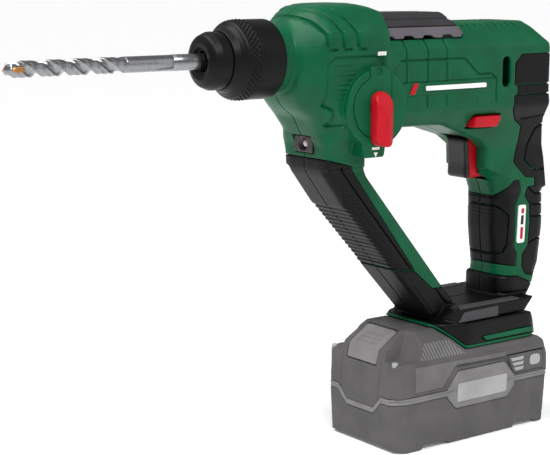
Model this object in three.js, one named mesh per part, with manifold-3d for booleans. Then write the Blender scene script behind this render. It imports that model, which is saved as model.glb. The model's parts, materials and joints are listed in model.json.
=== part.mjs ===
// Cordless rotary hammer with a D-shaped grip frame, an SDS-plus chuck and a slide-on battery.
// Millimetres. +Z up, the bit points to -X, the mode selector is on the -Y side.
// Origin: middle of the battery's underside, on the plane where the two housing halves meet.

import * as THREE from "three";
import { mergeVertices } from "three/addons/utils/BufferGeometryUtils.js";
import Module from "manifold-3d";

const wasm = await Module();
wasm.setup();

// ---------------------------------------------------------------- driving dimensions
const GAP = 0.3; // between two pieces that touch
const DRILL_Z = 267.5; // drill axis
const SHAFT_Z = 240; // intermediate shaft
const MOTOR_Z = 258; // motor shaft

const SKIN = 1.6; // thickness of the soft overmould
const WALL = 3.6; // housing skin to cavity
const CASE_HALF = 36; // gear case half width
const MOTOR_HALF = 34.5; // motor housing half width
const GRIP_HALF = 19.5; // handle half width
const ARM_HALF = 20.5; // front arm half width
const NECK_HALF = 23.5; // neck half width
const FOOT_HALF = 37; // foot half width over the battery

const TEETH = { motor: 8, large: 28, pinion: 13, spindle: 42 }; // module 1
const BATTERY_HALF = 38;
const BATTERY_SPLIT = 36; // height where the two battery cases meet

const SHANK_R = 5; // SDS-plus shank
const HOLDER_R = 10.6; // tool holder outside
const TUBE_R = 15; // hammer tube outside
const TUBE_BORE = 11.2;
const WOBBLE_X = -68; // wobble bearing and piston pin
const SELECTOR = { x: -95.5, z: 236 };

// ---------------------------------------------------------------- materials
function finish(color, roughness, metalness = 0) {
  return new THREE.MeshStandardMaterial({ color, roughness, metalness });
}

const GREEN = finish(0x14583c, 0.5);
const BLACK = finish(0x1c1c1d, 0.75);
const GREY = finish(0x48464a, 0.6);
const RED = finish(0xb01c28, 0.45);
const WHITE = finish(0xe8e8e6, 0.4);
const STEEL = finish(0xa8a9ab, 0.3, 1);
const DARK_STEEL = finish(0x55575a, 0.4, 1);
const CARBIDE = finish(0xb08a58, 0.35, 1);
const COPPER = finish(0xb87333, 0.35, 1);
const BATTERY_DARK = finish(0x5c5a5b, 0.65);
const BATTERY_LIGHT = finish(0x7d7c7c, 0.6);
const CELL = finish(0x4f6f9a, 0.5);
const BOARD = finish(0x1d4a2a, 0.6);
const LENS = finish(0x6b5a5c, 0.15);

// ---------------------------------------------------------------- solids
function solid(source) {
  const geometry = source.index ? source.toNonIndexed() : source;
  geometry.deleteAttribute("normal");
  geometry.deleteAttribute("uv");
  const merged = mergeVertices(geometry, 1e-3);
  const corners = merged.index.array;
  const kept = [];
  for (let i = 0; i < corners.length; i += 3) {
    const [a, b, c] = [corners[i], corners[i + 1], corners[i + 2]];
    if (a !== b && b !== c && c !== a) {
      kept.push(a, b, c);
    }
  }
  const vertProperties = new Float32Array(merged.attributes.position.array);
  const triVerts = new Uint32Array(kept);
  return new wasm.Manifold(new wasm.Mesh({ numProp: 3, vertProperties, triVerts }));
}

function union(solids) {
  return solids.reduce((sum, next) => sum.add(next));
}

// Corners are [a, b, radius], counter-clockwise; grow moves every edge outwards by that much.
function outline(corners, grow = 0, arcStep = ARC_STEP) {
  const count = corners.length;
  const moved = corners.map((corner, i) => {
    const before = corners[(i + count - 1) % count];
    const after = corners[(i + 1) % count];
    const into = new THREE.Vector2(corner[0] - before[0], corner[1] - before[1]).normalize();
    const away = new THREE.Vector2(after[0] - corner[0], after[1] - corner[1]).normalize();
    const normal = new THREE.Vector2(into.y + away.y, -into.x - away.x);
    const point = new THREE.Vector2(corner[0], corner[1]);
    point.addScaledVector(normal, grow / (1 + into.dot(away)));
    const radius = (corner[2] ?? 0) + (into.cross(away) > 0 ? grow : -grow);
    return { point, radius: corner[2] ? Math.max(radius, 0) : 0 };
  });
  const points = moved.flatMap(({ point, radius }, i) => {
    const before = moved[(i + count - 1) % count].point;
    const after = moved[(i + 1) % count].point;
    return roundedCorner(before, point, after, radius, arcStep);
  });
  return new THREE.Shape(points);
}

const ARC_STEP = Math.PI / 5; // longest stretch of a corner between two points
const COARSE_STEP = Math.PI / 2.5; // the same for faces that no one sees

function roundedCorner(before, point, after, radius, arcStep) {
  if (radius < 0.3) {
    return [point];
  }
  const into = point.clone().sub(before).normalize();
  const away = after.clone().sub(point).normalize();
  const turn = Math.atan2(into.cross(away), into.dot(away));
  if (Math.abs(turn) < 0.02) {
    return [point];
  }
  const reach = radius * Math.tan(Math.abs(turn) / 2);
  const start = point.clone().addScaledVector(into, -reach);
  const toCentre = new THREE.Vector2(-into.y, into.x).multiplyScalar(Math.sign(turn) * radius);
  const centre = start.clone().add(toCentre);
  const steps = Math.max(1, Math.ceil(Math.abs(turn) / arcStep));
  const points = [];
  for (let i = 0; i <= steps; i += 1) {
    points.push(start.clone().rotateAround(centre, (turn * i) / steps));
  }
  return points;
}

function circle(x, y, radius) {
  return new THREE.Shape().absarc(x, y, radius, 0, 2 * Math.PI, false);
}

function rectangle(x0, x1, y0, y1, radius = 0) {
  return outline([[x0, y0, radius], [x1, y0, radius], [x1, y1, radius], [x0, y1, radius]]);
}

// An outline extruded from low to high along one axis, with an optional chamfer at both ends.
function extrude(shape, low, high, chamfer, steps, segments) {
  const geometry = new THREE.ExtrudeGeometry(shape, {
    depth: high - low - 2 * chamfer,
    bevelEnabled: chamfer > 0,
    bevelThickness: chamfer,
    bevelSize: chamfer,
    bevelOffset: -chamfer,
    bevelSegments: steps,
    curveSegments: segments,
  });
  geometry.translate(0, 0, low + chamfer);
  return geometry;
}

// Outline in (x, z), extruded along Y.
function slab(shape, low, high, chamfer = 0, steps = 1, segments = 4) {
  const geometry = extrude(shape, -high, -low, chamfer, steps, segments);
  return solid(geometry.rotateX(Math.PI / 2));
}

// Outline in (y, z), extruded along X.
function bar(shape, low, high, chamfer = 0, steps = 1, segments = 4) {
  const geometry = extrude(shape, low, high, chamfer, steps, segments);
  const turn = new THREE.Matrix4().makeBasis(
    new THREE.Vector3(0, 1, 0),
    new THREE.Vector3(0, 0, 1),
    new THREE.Vector3(1, 0, 0),
  );
  return solid(geometry.applyMatrix4(turn));
}

// Outline in (x, y), extruded along Z.
function plate(shape, low, high, chamfer = 0, steps = 1, segments = 4) {
  return solid(extrude(shape, low, high, chamfer, steps, segments));
}

function box(x0, x1, y0, y1, z0, z1) {
  const geometry = new THREE.BoxGeometry(x1 - x0, y1 - y0, z1 - z0);
  return solid(geometry.translate((x0 + x1) / 2, (y0 + y1) / 2, (z0 + z1) / 2));
}

// A turned piece about a line along X at height z; the profile is [x, radius] pairs.
function turned(profile, z, segments = 28) {
  const points = profile.map(([x, radius]) => new THREE.Vector2(radius, x));
  const geometry = new THREE.LatheGeometry(points, segments).rotateZ(-Math.PI / 2);
  return solid(geometry.translate(0, 0, z));
}

function rod(x0, x1, radius, z, segments = 24) {
  return turned([[x0, 0], [x0, radius], [x1, radius], [x1, 0]], z, segments);
}

function ring(x0, x1, inner, outer, z, segments = 24) {
  return turned([[x0, inner], [x0, outer], [x1, outer], [x1, inner], [x0, inner]], z, segments);
}

// A pin along Y or Z.
function pin(axis, at, low, high, radius, segments = 20) {
  const geometry = new THREE.CylinderGeometry(radius, radius, high - low, segments);
  const middle = (low + high) / 2;
  if (axis === "y") {
    return solid(geometry.translate(at[0], middle, at[1]));
  }
  return solid(geometry.rotateX(Math.PI / 2).translate(at[0], at[1], middle));
}

function ball(x, y, z, radius) {
  return solid(new THREE.SphereGeometry(radius, 14, 8).translate(x, y, z));
}

const model = new THREE.Group();

function geometryOf(manifold) {
  const mesh = manifold.getMesh();
  const geometry = new THREE.BufferGeometry();
  geometry.setAttribute("position", new THREE.BufferAttribute(mesh.vertProperties, 3));
  geometry.setIndex(new THREE.BufferAttribute(mesh.triVerts, 1));
  return geometry;
}

function part(name, manifold, material) {
  const settled = largest(solid(geometryOf(manifold)));
  const piece = new THREE.Mesh(geometryOf(settled), material);
  piece.name = name;
  model.add(piece);
}

// ---------------------------------------------------------------- housing outlines, (x, z)
const CASE_SIDE = [
  [-126.5, 196], [-93, 196], [-93, 214, 6], [-84, 221], [-56, 221], [-56, 294],
  [-74, 297.3], [-90, 301.2, 8], [-101, 303, 20], [-118, 302.3], [-133, 300.2, 20],
  [-147, 297, 3], [-150.5, 289, 3], [-150.5, 244, 3], [-143, 235.5], [-135, 229.6, 6],
  [-131, 219], [-127.5, 211, 6],
];
const MOTOR_SIDE = [
  [-84, 221], [-30, 220.5, 12], [-8, 214], [9, 208, 6], [17.5, 200], [17.5, 179],
  [30, 168], [82, 168], [77.5, 190, 20], [70, 214, 20], [66.5, 240], [67, 266, 3], [66.5, 273.5],
  [49.5, 288.8, 4], [-84, 288.8],
];
const GRIP_SIDE = [
  [34, 90], [66, 90], [75, 100], [80, 112], [83.5, 140, 30], [82.5, 165, 20], [77, 195],
  [70, 214], [18, 214], [18, 180], [28, 176, 6], [31.5, 167], [33, 140, 30], [36.5, 112],
];
const ARM_SIDE = [
  [-30, 86], [0, 86], [-18.7, 107], [-88.7, 190, 12], [-93, 203], [-93, 210], [-126.5, 210],
  [-126.7, 194.5, 7], [-106, 170],
];
const FOOT_SIDE = [
  [-36.5, 80.9], [-32.8, 80.9], [-12, 64.5], [62, 64.5], [57, 77], [53, 83], [-24, 83], [-28, 88],
  [-35.5, 85],
];
const FOOT_DECK_SIDE = [
  [-34.5, 86], [-31, 82.5], [54, 82.5], [60, 85.5], [67, 94.3], [-24, 94.3],
];
const FOOT_PLAN = [
  [-36, -22], [-26, -30, 6], [-8, -FOOT_HALF, 8], [50, -FOOT_HALF, 10], [70, -26, 10],
  [70, 26, 10], [50, FOOT_HALF, 10], [-8, FOOT_HALF, 8], [-26, 30, 6], [-36, 22],
];
const DECK_HALF = 33.5; // the upper step of the foot is narrower
const COLLAR_SIDE = [
  [32.5, 88], [62, 88], [70, 96], [77, 107], [32.5, 107],
];
// Cross-sections, (y, z)
const CASE_SECTION = [
  [-NECK_HALF, 190], [NECK_HALF, 190], [NECK_HALF, 207, 10], [CASE_HALF, 228, 8],
  [CASE_HALF, 281, 14], [20, 303, 20], [-20, 303, 20], [-CASE_HALF, 281, 14],
  [-CASE_HALF, 228, 8], [-NECK_HALF, 207, 10],
];
const MOTOR_SECTION = [
  [-GRIP_HALF, 165], [GRIP_HALF, 165], [21.5, 200, 8], [27, 219.5, 4], [MOTOR_HALF, 231, 3],
  [MOTOR_HALF, 271, 4], [24, 284, 4], [17, 288.8, 6], [-17, 288.8, 6], [-24, 284, 4],
  [-MOTOR_HALF, 271, 4], [-MOTOR_HALF, 231, 3], [-27, 219.5, 4], [-21.5, 200, 8],
];

const CASE_PLAN = [
  [-150.5, -23], [-149, -29, 4], [-139, -CASE_HALF, 12], [-56, -CASE_HALF], [-56, CASE_HALF],
  [-139, CASE_HALF, 12], [-149, 29, 4], [-150.5, 23],
];
const MOTOR_PLAN = [
  [-84, -MOTOR_HALF], [69, -MOTOR_HALF, 9], [84, -17, 8], [84, 17, 8], [69, MOTOR_HALF, 9],
  [-84, MOTOR_HALF],
];
const GRIP_LEAN = Math.tan((6.5 * Math.PI) / 180); // the handle's foot lies further back

const NOSE = { front: -151, radius: 22.9, rear: -108, z: 262.5, slope: 0.9 };

// The gear case widens behind the chuck in a cone.
function noseCone(inset) {
  const start = NOSE.radius - inset * 1.345;
  const end = start + (NOSE.rear - NOSE.front) * NOSE.slope;
  const profile = [
    [NOSE.front, 0], [NOSE.front, start], [NOSE.rear, end], [-50, end], [-50, 0],
  ];
  return turned(profile, NOSE.z, 28);
}

// The tool's whole outer body, with every face moved in by the inset.
function gripBody(inset) {
  const step = inset > SKIN + GAP ? COARSE_STEP : ARC_STEP;
  const cut = (corners) => outline(corners, -inset, step);
  const gearCase = bar(cut(CASE_SECTION), -160, -50)
    .intersect(slab(cut(CASE_SIDE), -50, 50))
    .intersect(plate(cut(CASE_PLAN), 180, 310))
    .intersect(noseCone(inset).add(box(-160, -50, -60, 60, 180, 224)));
  const motor = bar(cut(MOTOR_SECTION), -90, 90)
    .intersect(slab(cut(MOTOR_SIDE), -50, 50))
    .intersect(plate(cut(MOTOR_PLAN), 160, 300));
  const lean = new THREE.Matrix4().set(1, 0, -GRIP_LEAN, 0, 0, 1, 0, 0, 0, 0, 1, 0, 0, 0, 0, 1);
  const upright = cut([
    [49, -GRIP_HALF, 14], [100, -GRIP_HALF, 14], [100, GRIP_HALF, 14], [49, GRIP_HALF, 14],
  ]);
  const grip = solid(extrude(upright, 85, 196, 0, 1, 4).applyMatrix4(lean))
    .intersect(slab(cut(GRIP_SIDE), -50, 50));
  const armHalf = ARM_HALF - inset;
  const arm = slab(cut(ARM_SIDE), -armHalf, armHalf, 4);
  return union([gearCase, motor, grip, arm]);
}

function footBody(inset) {
  const half = FOOT_HALF - inset;
  const deckHalf = DECK_HALF - inset;
  const cheeks = slab(outline(FOOT_SIDE, -inset), -half, half);
  const deck = slab(outline(FOOT_DECK_SIDE, -inset), -deckHalf, deckHalf);
  const base = cheeks.add(deck).intersect(plate(outline(FOOT_PLAN, -inset), 50, 110));
  const collarPlan = rectangle(32.5 + inset, 77 - inset, inset - 21.5, 21.5 - inset, 12);
  const collar = plate(collarPlan, 88, 107 - inset);
  return base.add(collar.intersect(slab(outline(COLLAR_SIDE, -inset), -50, 50)));
}

// ---------------------------------------------------------------- overmould outlines, (x, z)
const ARM_PAD = [
  [-150, 180], [-96, 133], [-76, 126], [-47, 122], [-105, 197.5], [-126.5, 203.2], [-150, 205],
];
const FOOT_PAD = [
  [-60, 92], [-31.5, 92], [-30, 83], [-11.3, 67.2], [95, 67.2], [95, 97], [66, 99],
  [52, 105.5], [31, 107.5], [18, 106.5], [-30, 106.5], [-47, 121], [-76, 125],
];
const FRONT_GRIP = [
  [20, 117.5], [51, 113], [52, 121], [49, 127], [49, 157], [54, 166, 3], [51, 175],
  [46, 175.5, 3], [34, 164.5], [20, 166],
];
const REAR_GRIP = [
  [38, 267], [31.5, 261], [31.5, 245], [34, 243.5], [34, 238.5], [31, 237], [31, 228],
  [38, 220], [46, 215], [47, 203], [44.5, 189], [57, 177.5], [67, 176], [67, 170], [60, 169.5],
  [59, 163], [63.5, 157], [64.5, 143], [63, 127], [57.5, 121], [57.5, 112], [61, 106],
  [70, 104], [95, 104], [95, 267],
];

function zone(corners, side, grow = 0) {
  const near = GAP / 2 - grow;
  const [low, high] = side < 0 ? [-60, -near] : [near, 60];
  return slab(outline(corners, grow), low, high);
}

// ---------------------------------------------------------------- housing
const TRIGGER_SLOT = box(-12, 36, -11.6, 11.6, 176.5, 209.5);
const SWITCH_OPENING = [[-8.6, 215.4], [16.4, 214.6], [22.2, 226], [-4, 226]];
const SWITCH_SLOT = slab(outline(SWITCH_OPENING), -50, 50);
const BUMPER_SIDE = [
  [-64, 279], [5.5, 279], [-3, 290.5], [-15, 294.8], [-58, 295.4], [-64, 294],
];
const BUMPER_SECTION = [
  [-28, 276], [28, 276], [28, 279], [19, 291], [12, 295.4], [-12, 295.4], [-19, 291], [-28, 279],
];
const LED_WINDOW = { z0: 206, z1: 217.5, half: 10 };

const outer = gripBody(0).add(footBody(0));
const underSkin = gripBody(SKIN).add(footBody(SKIN));
const skinFloor = gripBody(SKIN + GAP).add(footBody(SKIN + GAP));
const bumper = slab(outline(BUMPER_SIDE), -28, 28).intersect(bar(outline(BUMPER_SECTION), -70, 10));
const bumperSeat = slab(outline(BUMPER_SIDE, GAP), -30, 30)
  .intersect(bar(outline(BUMPER_SECTION, GAP), -70, 10));

// The battery slides in from the front: a throat with a groove along each side for its rails.
const SLOT = { rear: 50, throat: 22.6, groove: 27.6, grooveLow: 67.6, grooveHigh: 73.6, roof: 81 };

function batterySlot() {
  const throat = box(-80, SLOT.rear, -SLOT.throat, SLOT.throat, 50, SLOT.roof);
  const grooves = box(-80, SLOT.rear, -SLOT.groove, SLOT.groove, SLOT.grooveLow, SLOT.grooveHigh);
  return throat.add(grooves);
}

function vents() {
  const side = slab(rectangle(17, 24.5, 244, 265, 3), -50, 50);
  const slots = [];
  for (let x = 12; x <= 44; x += 8) {
    slots.push(box(x, x + 3, -14, 14, 282, 300));
  }
  return union([side, ...slots]);
}

const noseRing = ring(-160, -146, 18.6, 22, DRILL_Z, 28);
const cavity = gripBody(WALL);
const electronicsBay = box(36, 70, -13, 13, 86, 104);
const cutters = union([
  cavity,
  electronicsBay,
  batterySlot(),
  rod(-170, -140, 18.6, DRILL_Z, 28),
  TRIGGER_SLOT,
  SWITCH_SLOT,
  vents(),
  bumperSeat,
  box(-140, -118, -LED_WINDOW.half, LED_WINDOW.half, LED_WINDOW.z0, LED_WINDOW.z1),
]);

const bossOutline = [
  [SELECTOR.x - 9.5, 204, 2], [SELECTOR.x + 6.5, 204, 2], [SELECTOR.x + 8, 212],
  [SELECTOR.x - 12, 214],
];
const selectorBoss = slab(circle(SELECTOR.x, SELECTOR.z, 25), -37.5, -22, 0, 1, 14)
  .add(slab(outline(bossOutline), -36.5, -21));
const SELECTOR_OUTLINE = [
  [SELECTOR.x - 6.5, 262.5, 2], [SELECTOR.x - 6.5, 255.2], [SELECTOR.x - 14, 250],
  [SELECTOR.x - 19, 243, 6], [SELECTOR.x - 19.6, 233, 6], [SELECTOR.x - 16, 224, 6],
  [SELECTOR.x - 9, 218.4, 6], [SELECTOR.x + 2, 216.6, 6], [SELECTOR.x + 11, 220, 4],
  [SELECTOR.x + 11, 258.5], [SELECTOR.x + 5, 262.5],
];
const selectorRecess = slab(outline(SELECTOR_OUTLINE, GAP), -60, -35.2)
  .add(slab(circle(SELECTOR.x, SELECTOR.z, 8), -40, -20, 0, 1, 9));

// Screws pass through bosses that join the two halves.
const SCREWS = [
  ["gear_case", -141, 243.5], ["neck", -110, 205], ["handle", 69, 186],
];
const SCREW = { radius: 1.6, headRadius: 3, tip: -8, seat: 13, top: 15 };

function screwBoss([, x, z]) {
  return slab(circle(x, z, 4.6), -60, 60, 0, 1, 7);
}

function screwHole([, x, z]) {
  const shaft = slab(circle(x, z, SCREW.radius + GAP), SCREW.tip - 1, SCREW.seat, 0, 1, 5);
  const head = slab(circle(x, z, SCREW.headRadius + GAP), SCREW.seat - GAP, 60, 0, 1, 7);
  return shaft.add(head);
}

const SCREW_HOLES = union(SCREWS.map(screwHole));

function skinZones(side, grow) {
  const pads = [ARM_PAD, FOOT_PAD, FRONT_GRIP, REAR_GRIP];
  return union(pads.map((pad) => zone(pad, side, grow)));
}

function housingHalf(side) {
  const near = GAP / 2;
  const [low, high] = side < 0 ? [-80, -near] : [near, 80];
  const halfSpace = box(-400, 400, low, high, -10, 400);
  const whole = outer.add(noseRing);
  const zones = skinZones(side, GAP);
  const core = whole.subtract(zones.subtract(skinFloor));
  let half = core.subtract(cutters);
  const bosses = union(SCREWS.map(screwBoss)).intersect(skinFloor);
  half = half.add(bosses.subtract(TRIGGER_SLOT));
  if (side < 0) {
    half = half.add(selectorBoss).subtract(selectorRecess);
  }
  half = half.intersect(halfSpace);
  return half.subtract(SCREW_HOLES);
}

function skinPiece(corners, side) {
  const skin = outer.intersect(zone(corners, side)).subtract(underSkin);
  return skin.subtract(cutters).subtract(SCREW_HOLES);
}

// The cuts can leave crumbs beside the piece itself.
function largest(manifold) {
  return manifold.decompose().sort((a, b) => b.volume() - a.volume())[0];
}

for (const [name, side] of [["left", -1], ["right", 1]]) {
  part(`housing_${name}`, housingHalf(side), GREEN);
  part(`arm_pad_${name}`, skinPiece(ARM_PAD, side), BLACK);
  part(`foot_cover_${name}`, skinPiece(FOOT_PAD, side), BLACK);
  part(`front_grip_${name}`, skinPiece(FRONT_GRIP, side), BLACK);
  part(`rear_grip_${name}`, skinPiece(REAR_GRIP, side), BLACK);
}

for (const [name, x, z] of SCREWS) {
  const shaft = slab(circle(x, z, SCREW.radius), SCREW.tip, SCREW.seat, 0, 1, 5);
  const head = slab(circle(x, z, SCREW.headRadius), SCREW.seat, SCREW.top, 0, 1, 7);
  part(`screw_${name}`, shaft.add(head), DARK_STEEL);
}

const bumperCore = gripBody(WALL - 1.2);
part("top_bumper", bumper.subtract(bumperCore), GREY);

// ---------------------------------------------------------------- chuck
const BALL = { x: -172, radius: 3.25, centre: 7.6, cone: 11.2 };

function chuck() {
  const cap = [
    [-206.5, 6.5], [-206.5, 11.8], [-204.2, 16], [-200, 18], [-193.3, 18], [-193.3, 11.4],
    [-201.4, 11.4], [-203.2, 6.5], [-206.5, 6.5],
  ];
  part("dust_cap", turned(cap, DRILL_Z, 28), BLACK);
  const sleeve = [
    [-193, 16.4], [-193, 18], [-189, 20], [-185, 24.4], [-165, 25], [-159, 25], [-157.5, 24.2],
    [-157.5, 22.5], [-167, 22.5], [-167, 16.4], [-193, 16.4],
  ];
  part("chuck_sleeve", turned(sleeve, DRILL_Z, 32), BLACK);
  // The cone inside lets the balls out by a third of the sleeve's travel.
  const lock = [
    [-184, 14.2], [-184, 16.1], [-163, 16.1], [-163, 13.6], [-169, 13.6],
    [-169, BALL.cone], [BALL.x, BALL.cone], [-181, BALL.cone + 3], [-184, 14.2],
  ];
  part("lock_ring", turned(lock, DRILL_Z, 24), STEEL);
  part("sleeve_spring", ring(-162.6, -160.6, 11, 13.2, DRILL_Z, 24), DARK_STEEL);
  for (const [name, side] of [["left", -1], ["right", 1]]) {
    part(`lock_ball_${name}`, ball(BALL.x, side * BALL.centre, DRILL_Z, BALL.radius), STEEL);
  }
}

// The drive keys of the holder run in open slots along the shank, above and below the axis.
const KEY = { half: 1.2, depth: 1.3, x0: -199, x1: -186 };

function toolHolder() {
  const profile = [
    [-201.5, SHANK_R + 0.1], [-201.5, HOLDER_R - 1.2], [-199.5, HOLDER_R], [-160, HOLDER_R],
    [-160, 13], [-152.4, 13], [-152.4, 6.6], [-159, 6.6], [-159, SHANK_R + 0.1],
    [-201.5, SHANK_R + 0.1],
  ];
  const keyLow = SHANK_R - KEY.depth + GAP;
  const keys = [1, -1].map((side) => {
    const z = DRILL_Z + side * (keyLow + HOLDER_R - 1) / 2;
    const half = (HOLDER_R - 1 - keyLow) / 2;
    return box(KEY.x0, KEY.x1, -KEY.half, KEY.half, z - half, z + half);
  });
  const ballHole = pin("y", [BALL.x, DRILL_Z], -20, 20, BALL.radius + 0.25, 14);
  const core = rod(-210, -150, SHANK_R - KEY.depth, DRILL_Z, 16);
  return union([turned(profile, DRILL_Z, 24), ...keys]).subtract(ballHole).subtract(core);
}

const BIT = { tip: -339, flutes: -262, step: -227, rear: -160.6, bodyRadius: 4.6, turns: 3 };

// Two-flute drill section, twisted along the flutes by turning each ring of points.
function drillFlutes() {
  const radius = BIT.bodyRadius;
  const points = [];
  const around = 14;
  for (let i = 0; i < around; i += 1) {
    const angle = (i / around) * 2 * Math.PI;
    const flute = Math.max(0, Math.cos(angle * 2)) ** 1.5;
    const r = radius * (1 - 0.42 * flute);
    points.push(new THREE.Vector2(Math.cos(angle) * r, Math.sin(angle) * r));
  }
  const length = BIT.flutes - BIT.tip - 4;
  const geometry = new THREE.ExtrudeGeometry(new THREE.Shape(points), {
    depth: length,
    steps: 20,
    bevelEnabled: false,
  });
  const place = geometry.attributes.position;
  for (let i = 0; i < place.count; i += 1) {
    const along = place.getZ(i) / length;
    const angle = along * BIT.turns * 2 * Math.PI;
    const [x, y] = [place.getX(i), place.getY(i)];
    const spunX = x * Math.cos(angle) - y * Math.sin(angle);
    const spunY = x * Math.sin(angle) + y * Math.cos(angle);
    place.setXYZ(i, BIT.tip + 4 + place.getZ(i), spunX, spunY + DRILL_Z);
  }
  return solid(geometry);
}

function drillBit() {
  const r = BIT.bodyRadius;
  const shank = [
    [BIT.flutes - 0.5, 0], [BIT.flutes - 0.5, r], [BIT.step, r], [BIT.step, SHANK_R],
    [BIT.rear - 1, SHANK_R], [BIT.rear, SHANK_R - 1], [BIT.rear, 0],
  ];
  let bit = turned(shank, DRILL_Z, 24).add(drillFlutes());
  for (const side of [-1, 1]) {
    const low = SHANK_R - KEY.depth;
    const z = side < 0 ? [-SHANK_R - 1, -low] : [low, SHANK_R + 1];
    const half = KEY.half + GAP;
    bit = bit.subtract(box(-204, -150, -half, half, DRILL_Z + z[0], DRILL_Z + z[1]));
    const y = side < 0 ? [-SHANK_R - 1, -4] : [4, SHANK_R + 1];
    bit = bit.subtract(box(-181, -164.4, y[0], y[1], DRILL_Z - 2.3, DRILL_Z + 2.3));
  }
  const tipSlot = box(BIT.tip - 1, BIT.tip + 9.3, -8, 8, DRILL_Z - 1.2, DRILL_Z + 1.2);
  part("drill_bit", bit.subtract(tipSlot), STEEL);
  const tip = [
    [BIT.tip, 0], [BIT.tip + 3.4, -5], [BIT.tip + 9, -5], [BIT.tip + 9, 5], [BIT.tip + 3.4, 5],
  ];
  part("carbide_tip", plate(outline(tip), DRILL_Z - 0.9, DRILL_Z + 0.9), CARBIDE);
}

chuck();
part("tool_holder", toolHolder(), STEEL);
drillBit();

// ---------------------------------------------------------------- hammer mechanism
// Straight-flanked teeth, a little thin, so that a pair runs with backlash at any angle.
function gearShape(teeth, centreY, centreZ, phase) {
  const pitch = teeth / 2;
  const step = (2 * Math.PI) / teeth;
  const points = [];
  for (let i = 0; i < teeth; i += 1) {
    const angle = (i + phase) * step;
    for (const [height, offset] of [[-1, -0.24], [0.7, -0.11], [0.7, 0.11], [-1, 0.24]]) {
      const turn = angle + offset * step;
      const point = new THREE.Vector2(pitch + height, 0).rotateAround(new THREE.Vector2(), turn);
      points.push(point.add(new THREE.Vector2(centreY, centreZ)));
    }
  }
  return new THREE.Shape(points);
}

function gear(x0, x1, teeth, z, phase) {
  return bar(gearShape(teeth, 0, z, phase), x0, x1);
}

const TUBE = { front: -152, rear: -80 };
const SPINDLE_GEAR = { x0: -92, x1: -84 };
const LARGE_GEAR = { x0: -57, x1: -51 };

function hammer() {
  const tube = [
    [TUBE.front, 6.6], [TUBE.front, TUBE_R - 1], [-149, TUBE_R], [TUBE.rear, TUBE_R],
    [TUBE.rear, TUBE_BORE], [-134, TUBE_BORE], [-136, 6.6], [TUBE.front, 6.6],
  ];
  part("hammer_tube", turned(tube, DRILL_Z), STEEL);
  const wheel = gear(SPINDLE_GEAR.x0, SPINDLE_GEAR.x1, TEETH.spindle, DRILL_Z, 0)
    .subtract(rod(-95, -80, TUBE_R + GAP, DRILL_Z, 28));
  part("spindle_gear", wheel, DARK_STEEL);
  const bearing = ring(-146, -138, TUBE_R + GAP, 18.2, DRILL_Z, 24);
  part("front_bearing", bearing, STEEL);
  const piston = [
    [-115, 8], [-115, 10.9], [-62, 10.9], [-62, 0], [-86, 0], [-86, 8], [-115, 8],
  ];
  const fork = box(WOBBLE_X - 5.2, WOBBLE_X + 5.2, -3.4, 3.4, DRILL_Z - 20, DRILL_Z + 4);
  part("piston", turned(piston, DRILL_Z).subtract(fork), STEEL);
  part("striker", rod(-113, -95, 7.7, DRILL_Z), DARK_STEEL);
  const bolt = [
    [-156, 0], [-156, 5.6], [-155, 6.2], [-129, 6.2], [-127, 9.5], [-121.5, 9.5], [-121.5, 0],
  ];
  part("impact_bolt", turned(bolt, DRILL_Z), STEEL);
}

function intermediate() {
  const hub = [-6, -3.5, 0, 3.5, 6].map((x) => [WOBBLE_X + x, Math.sqrt(9.5 ** 2 - x ** 2)]);
  const shaft = union([
    rod(-112, LARGE_GEAR.x0 - GAP, 4.2, SHAFT_Z, 16),
    rod(LARGE_GEAR.x0 - 1, -47, 3.2, SHAFT_Z, 16),
    gear(SPINDLE_GEAR.x0 - 1, SPINDLE_GEAR.x1 + 1, TEETH.pinion, SHAFT_Z, 0.25),
    turned([[WOBBLE_X - 6, 0], ...hub, [WOBBLE_X + 6, 0]], SHAFT_Z, 20),
  ]);
  part("intermediate_shaft", shaft, STEEL);
  const wheel = gear(LARGE_GEAR.x0, LARGE_GEAR.x1, TEETH.large, SHAFT_Z, 0)
    .subtract(rod(-60, -50, 3.5, SHAFT_Z, 16));
  part("intermediate_gear", wheel, DARK_STEEL);
  const seat = ball(WOBBLE_X, 0, SHAFT_Z, 10.8);
  const finger = pin("z", [WOBBLE_X, 0], SHAFT_Z + 12, DRILL_Z + 1.5, 3, 14);
  const race = rod(WOBBLE_X - 3.5, WOBBLE_X + 3.5, 14, SHAFT_Z, 28);
  part("wobble_ring", race.add(finger).subtract(seat), STEEL);
  part("shaft_bearing", ring(-111, -105, 4.5, 11, SHAFT_Z), STEEL);
}

const GEAR_PLATE = { x0: -49, x1: -44.3 };

function gearPlate() {
  const disc = outline([
    [-22, 231, 8], [22, 231, 8], [28, 262, 10], [18, 282, 6], [-18, 282, 6], [-28, 262, 10],
  ]);
  const web = bar(disc, GEAR_PLATE.x0, GEAR_PLATE.x1);
  const bores = union([rod(-60, -40, 5.6, MOTOR_Z, 20), rod(-60, -40, 3.6, SHAFT_Z, 16)]);
  part("gearbox_plate", web.subtract(bores), DARK_STEEL);
}

hammer();
intermediate();
gearPlate();

// ---------------------------------------------------------------- motor
const CAN = { front: -42, rear: 22, radius: 22 };

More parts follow.
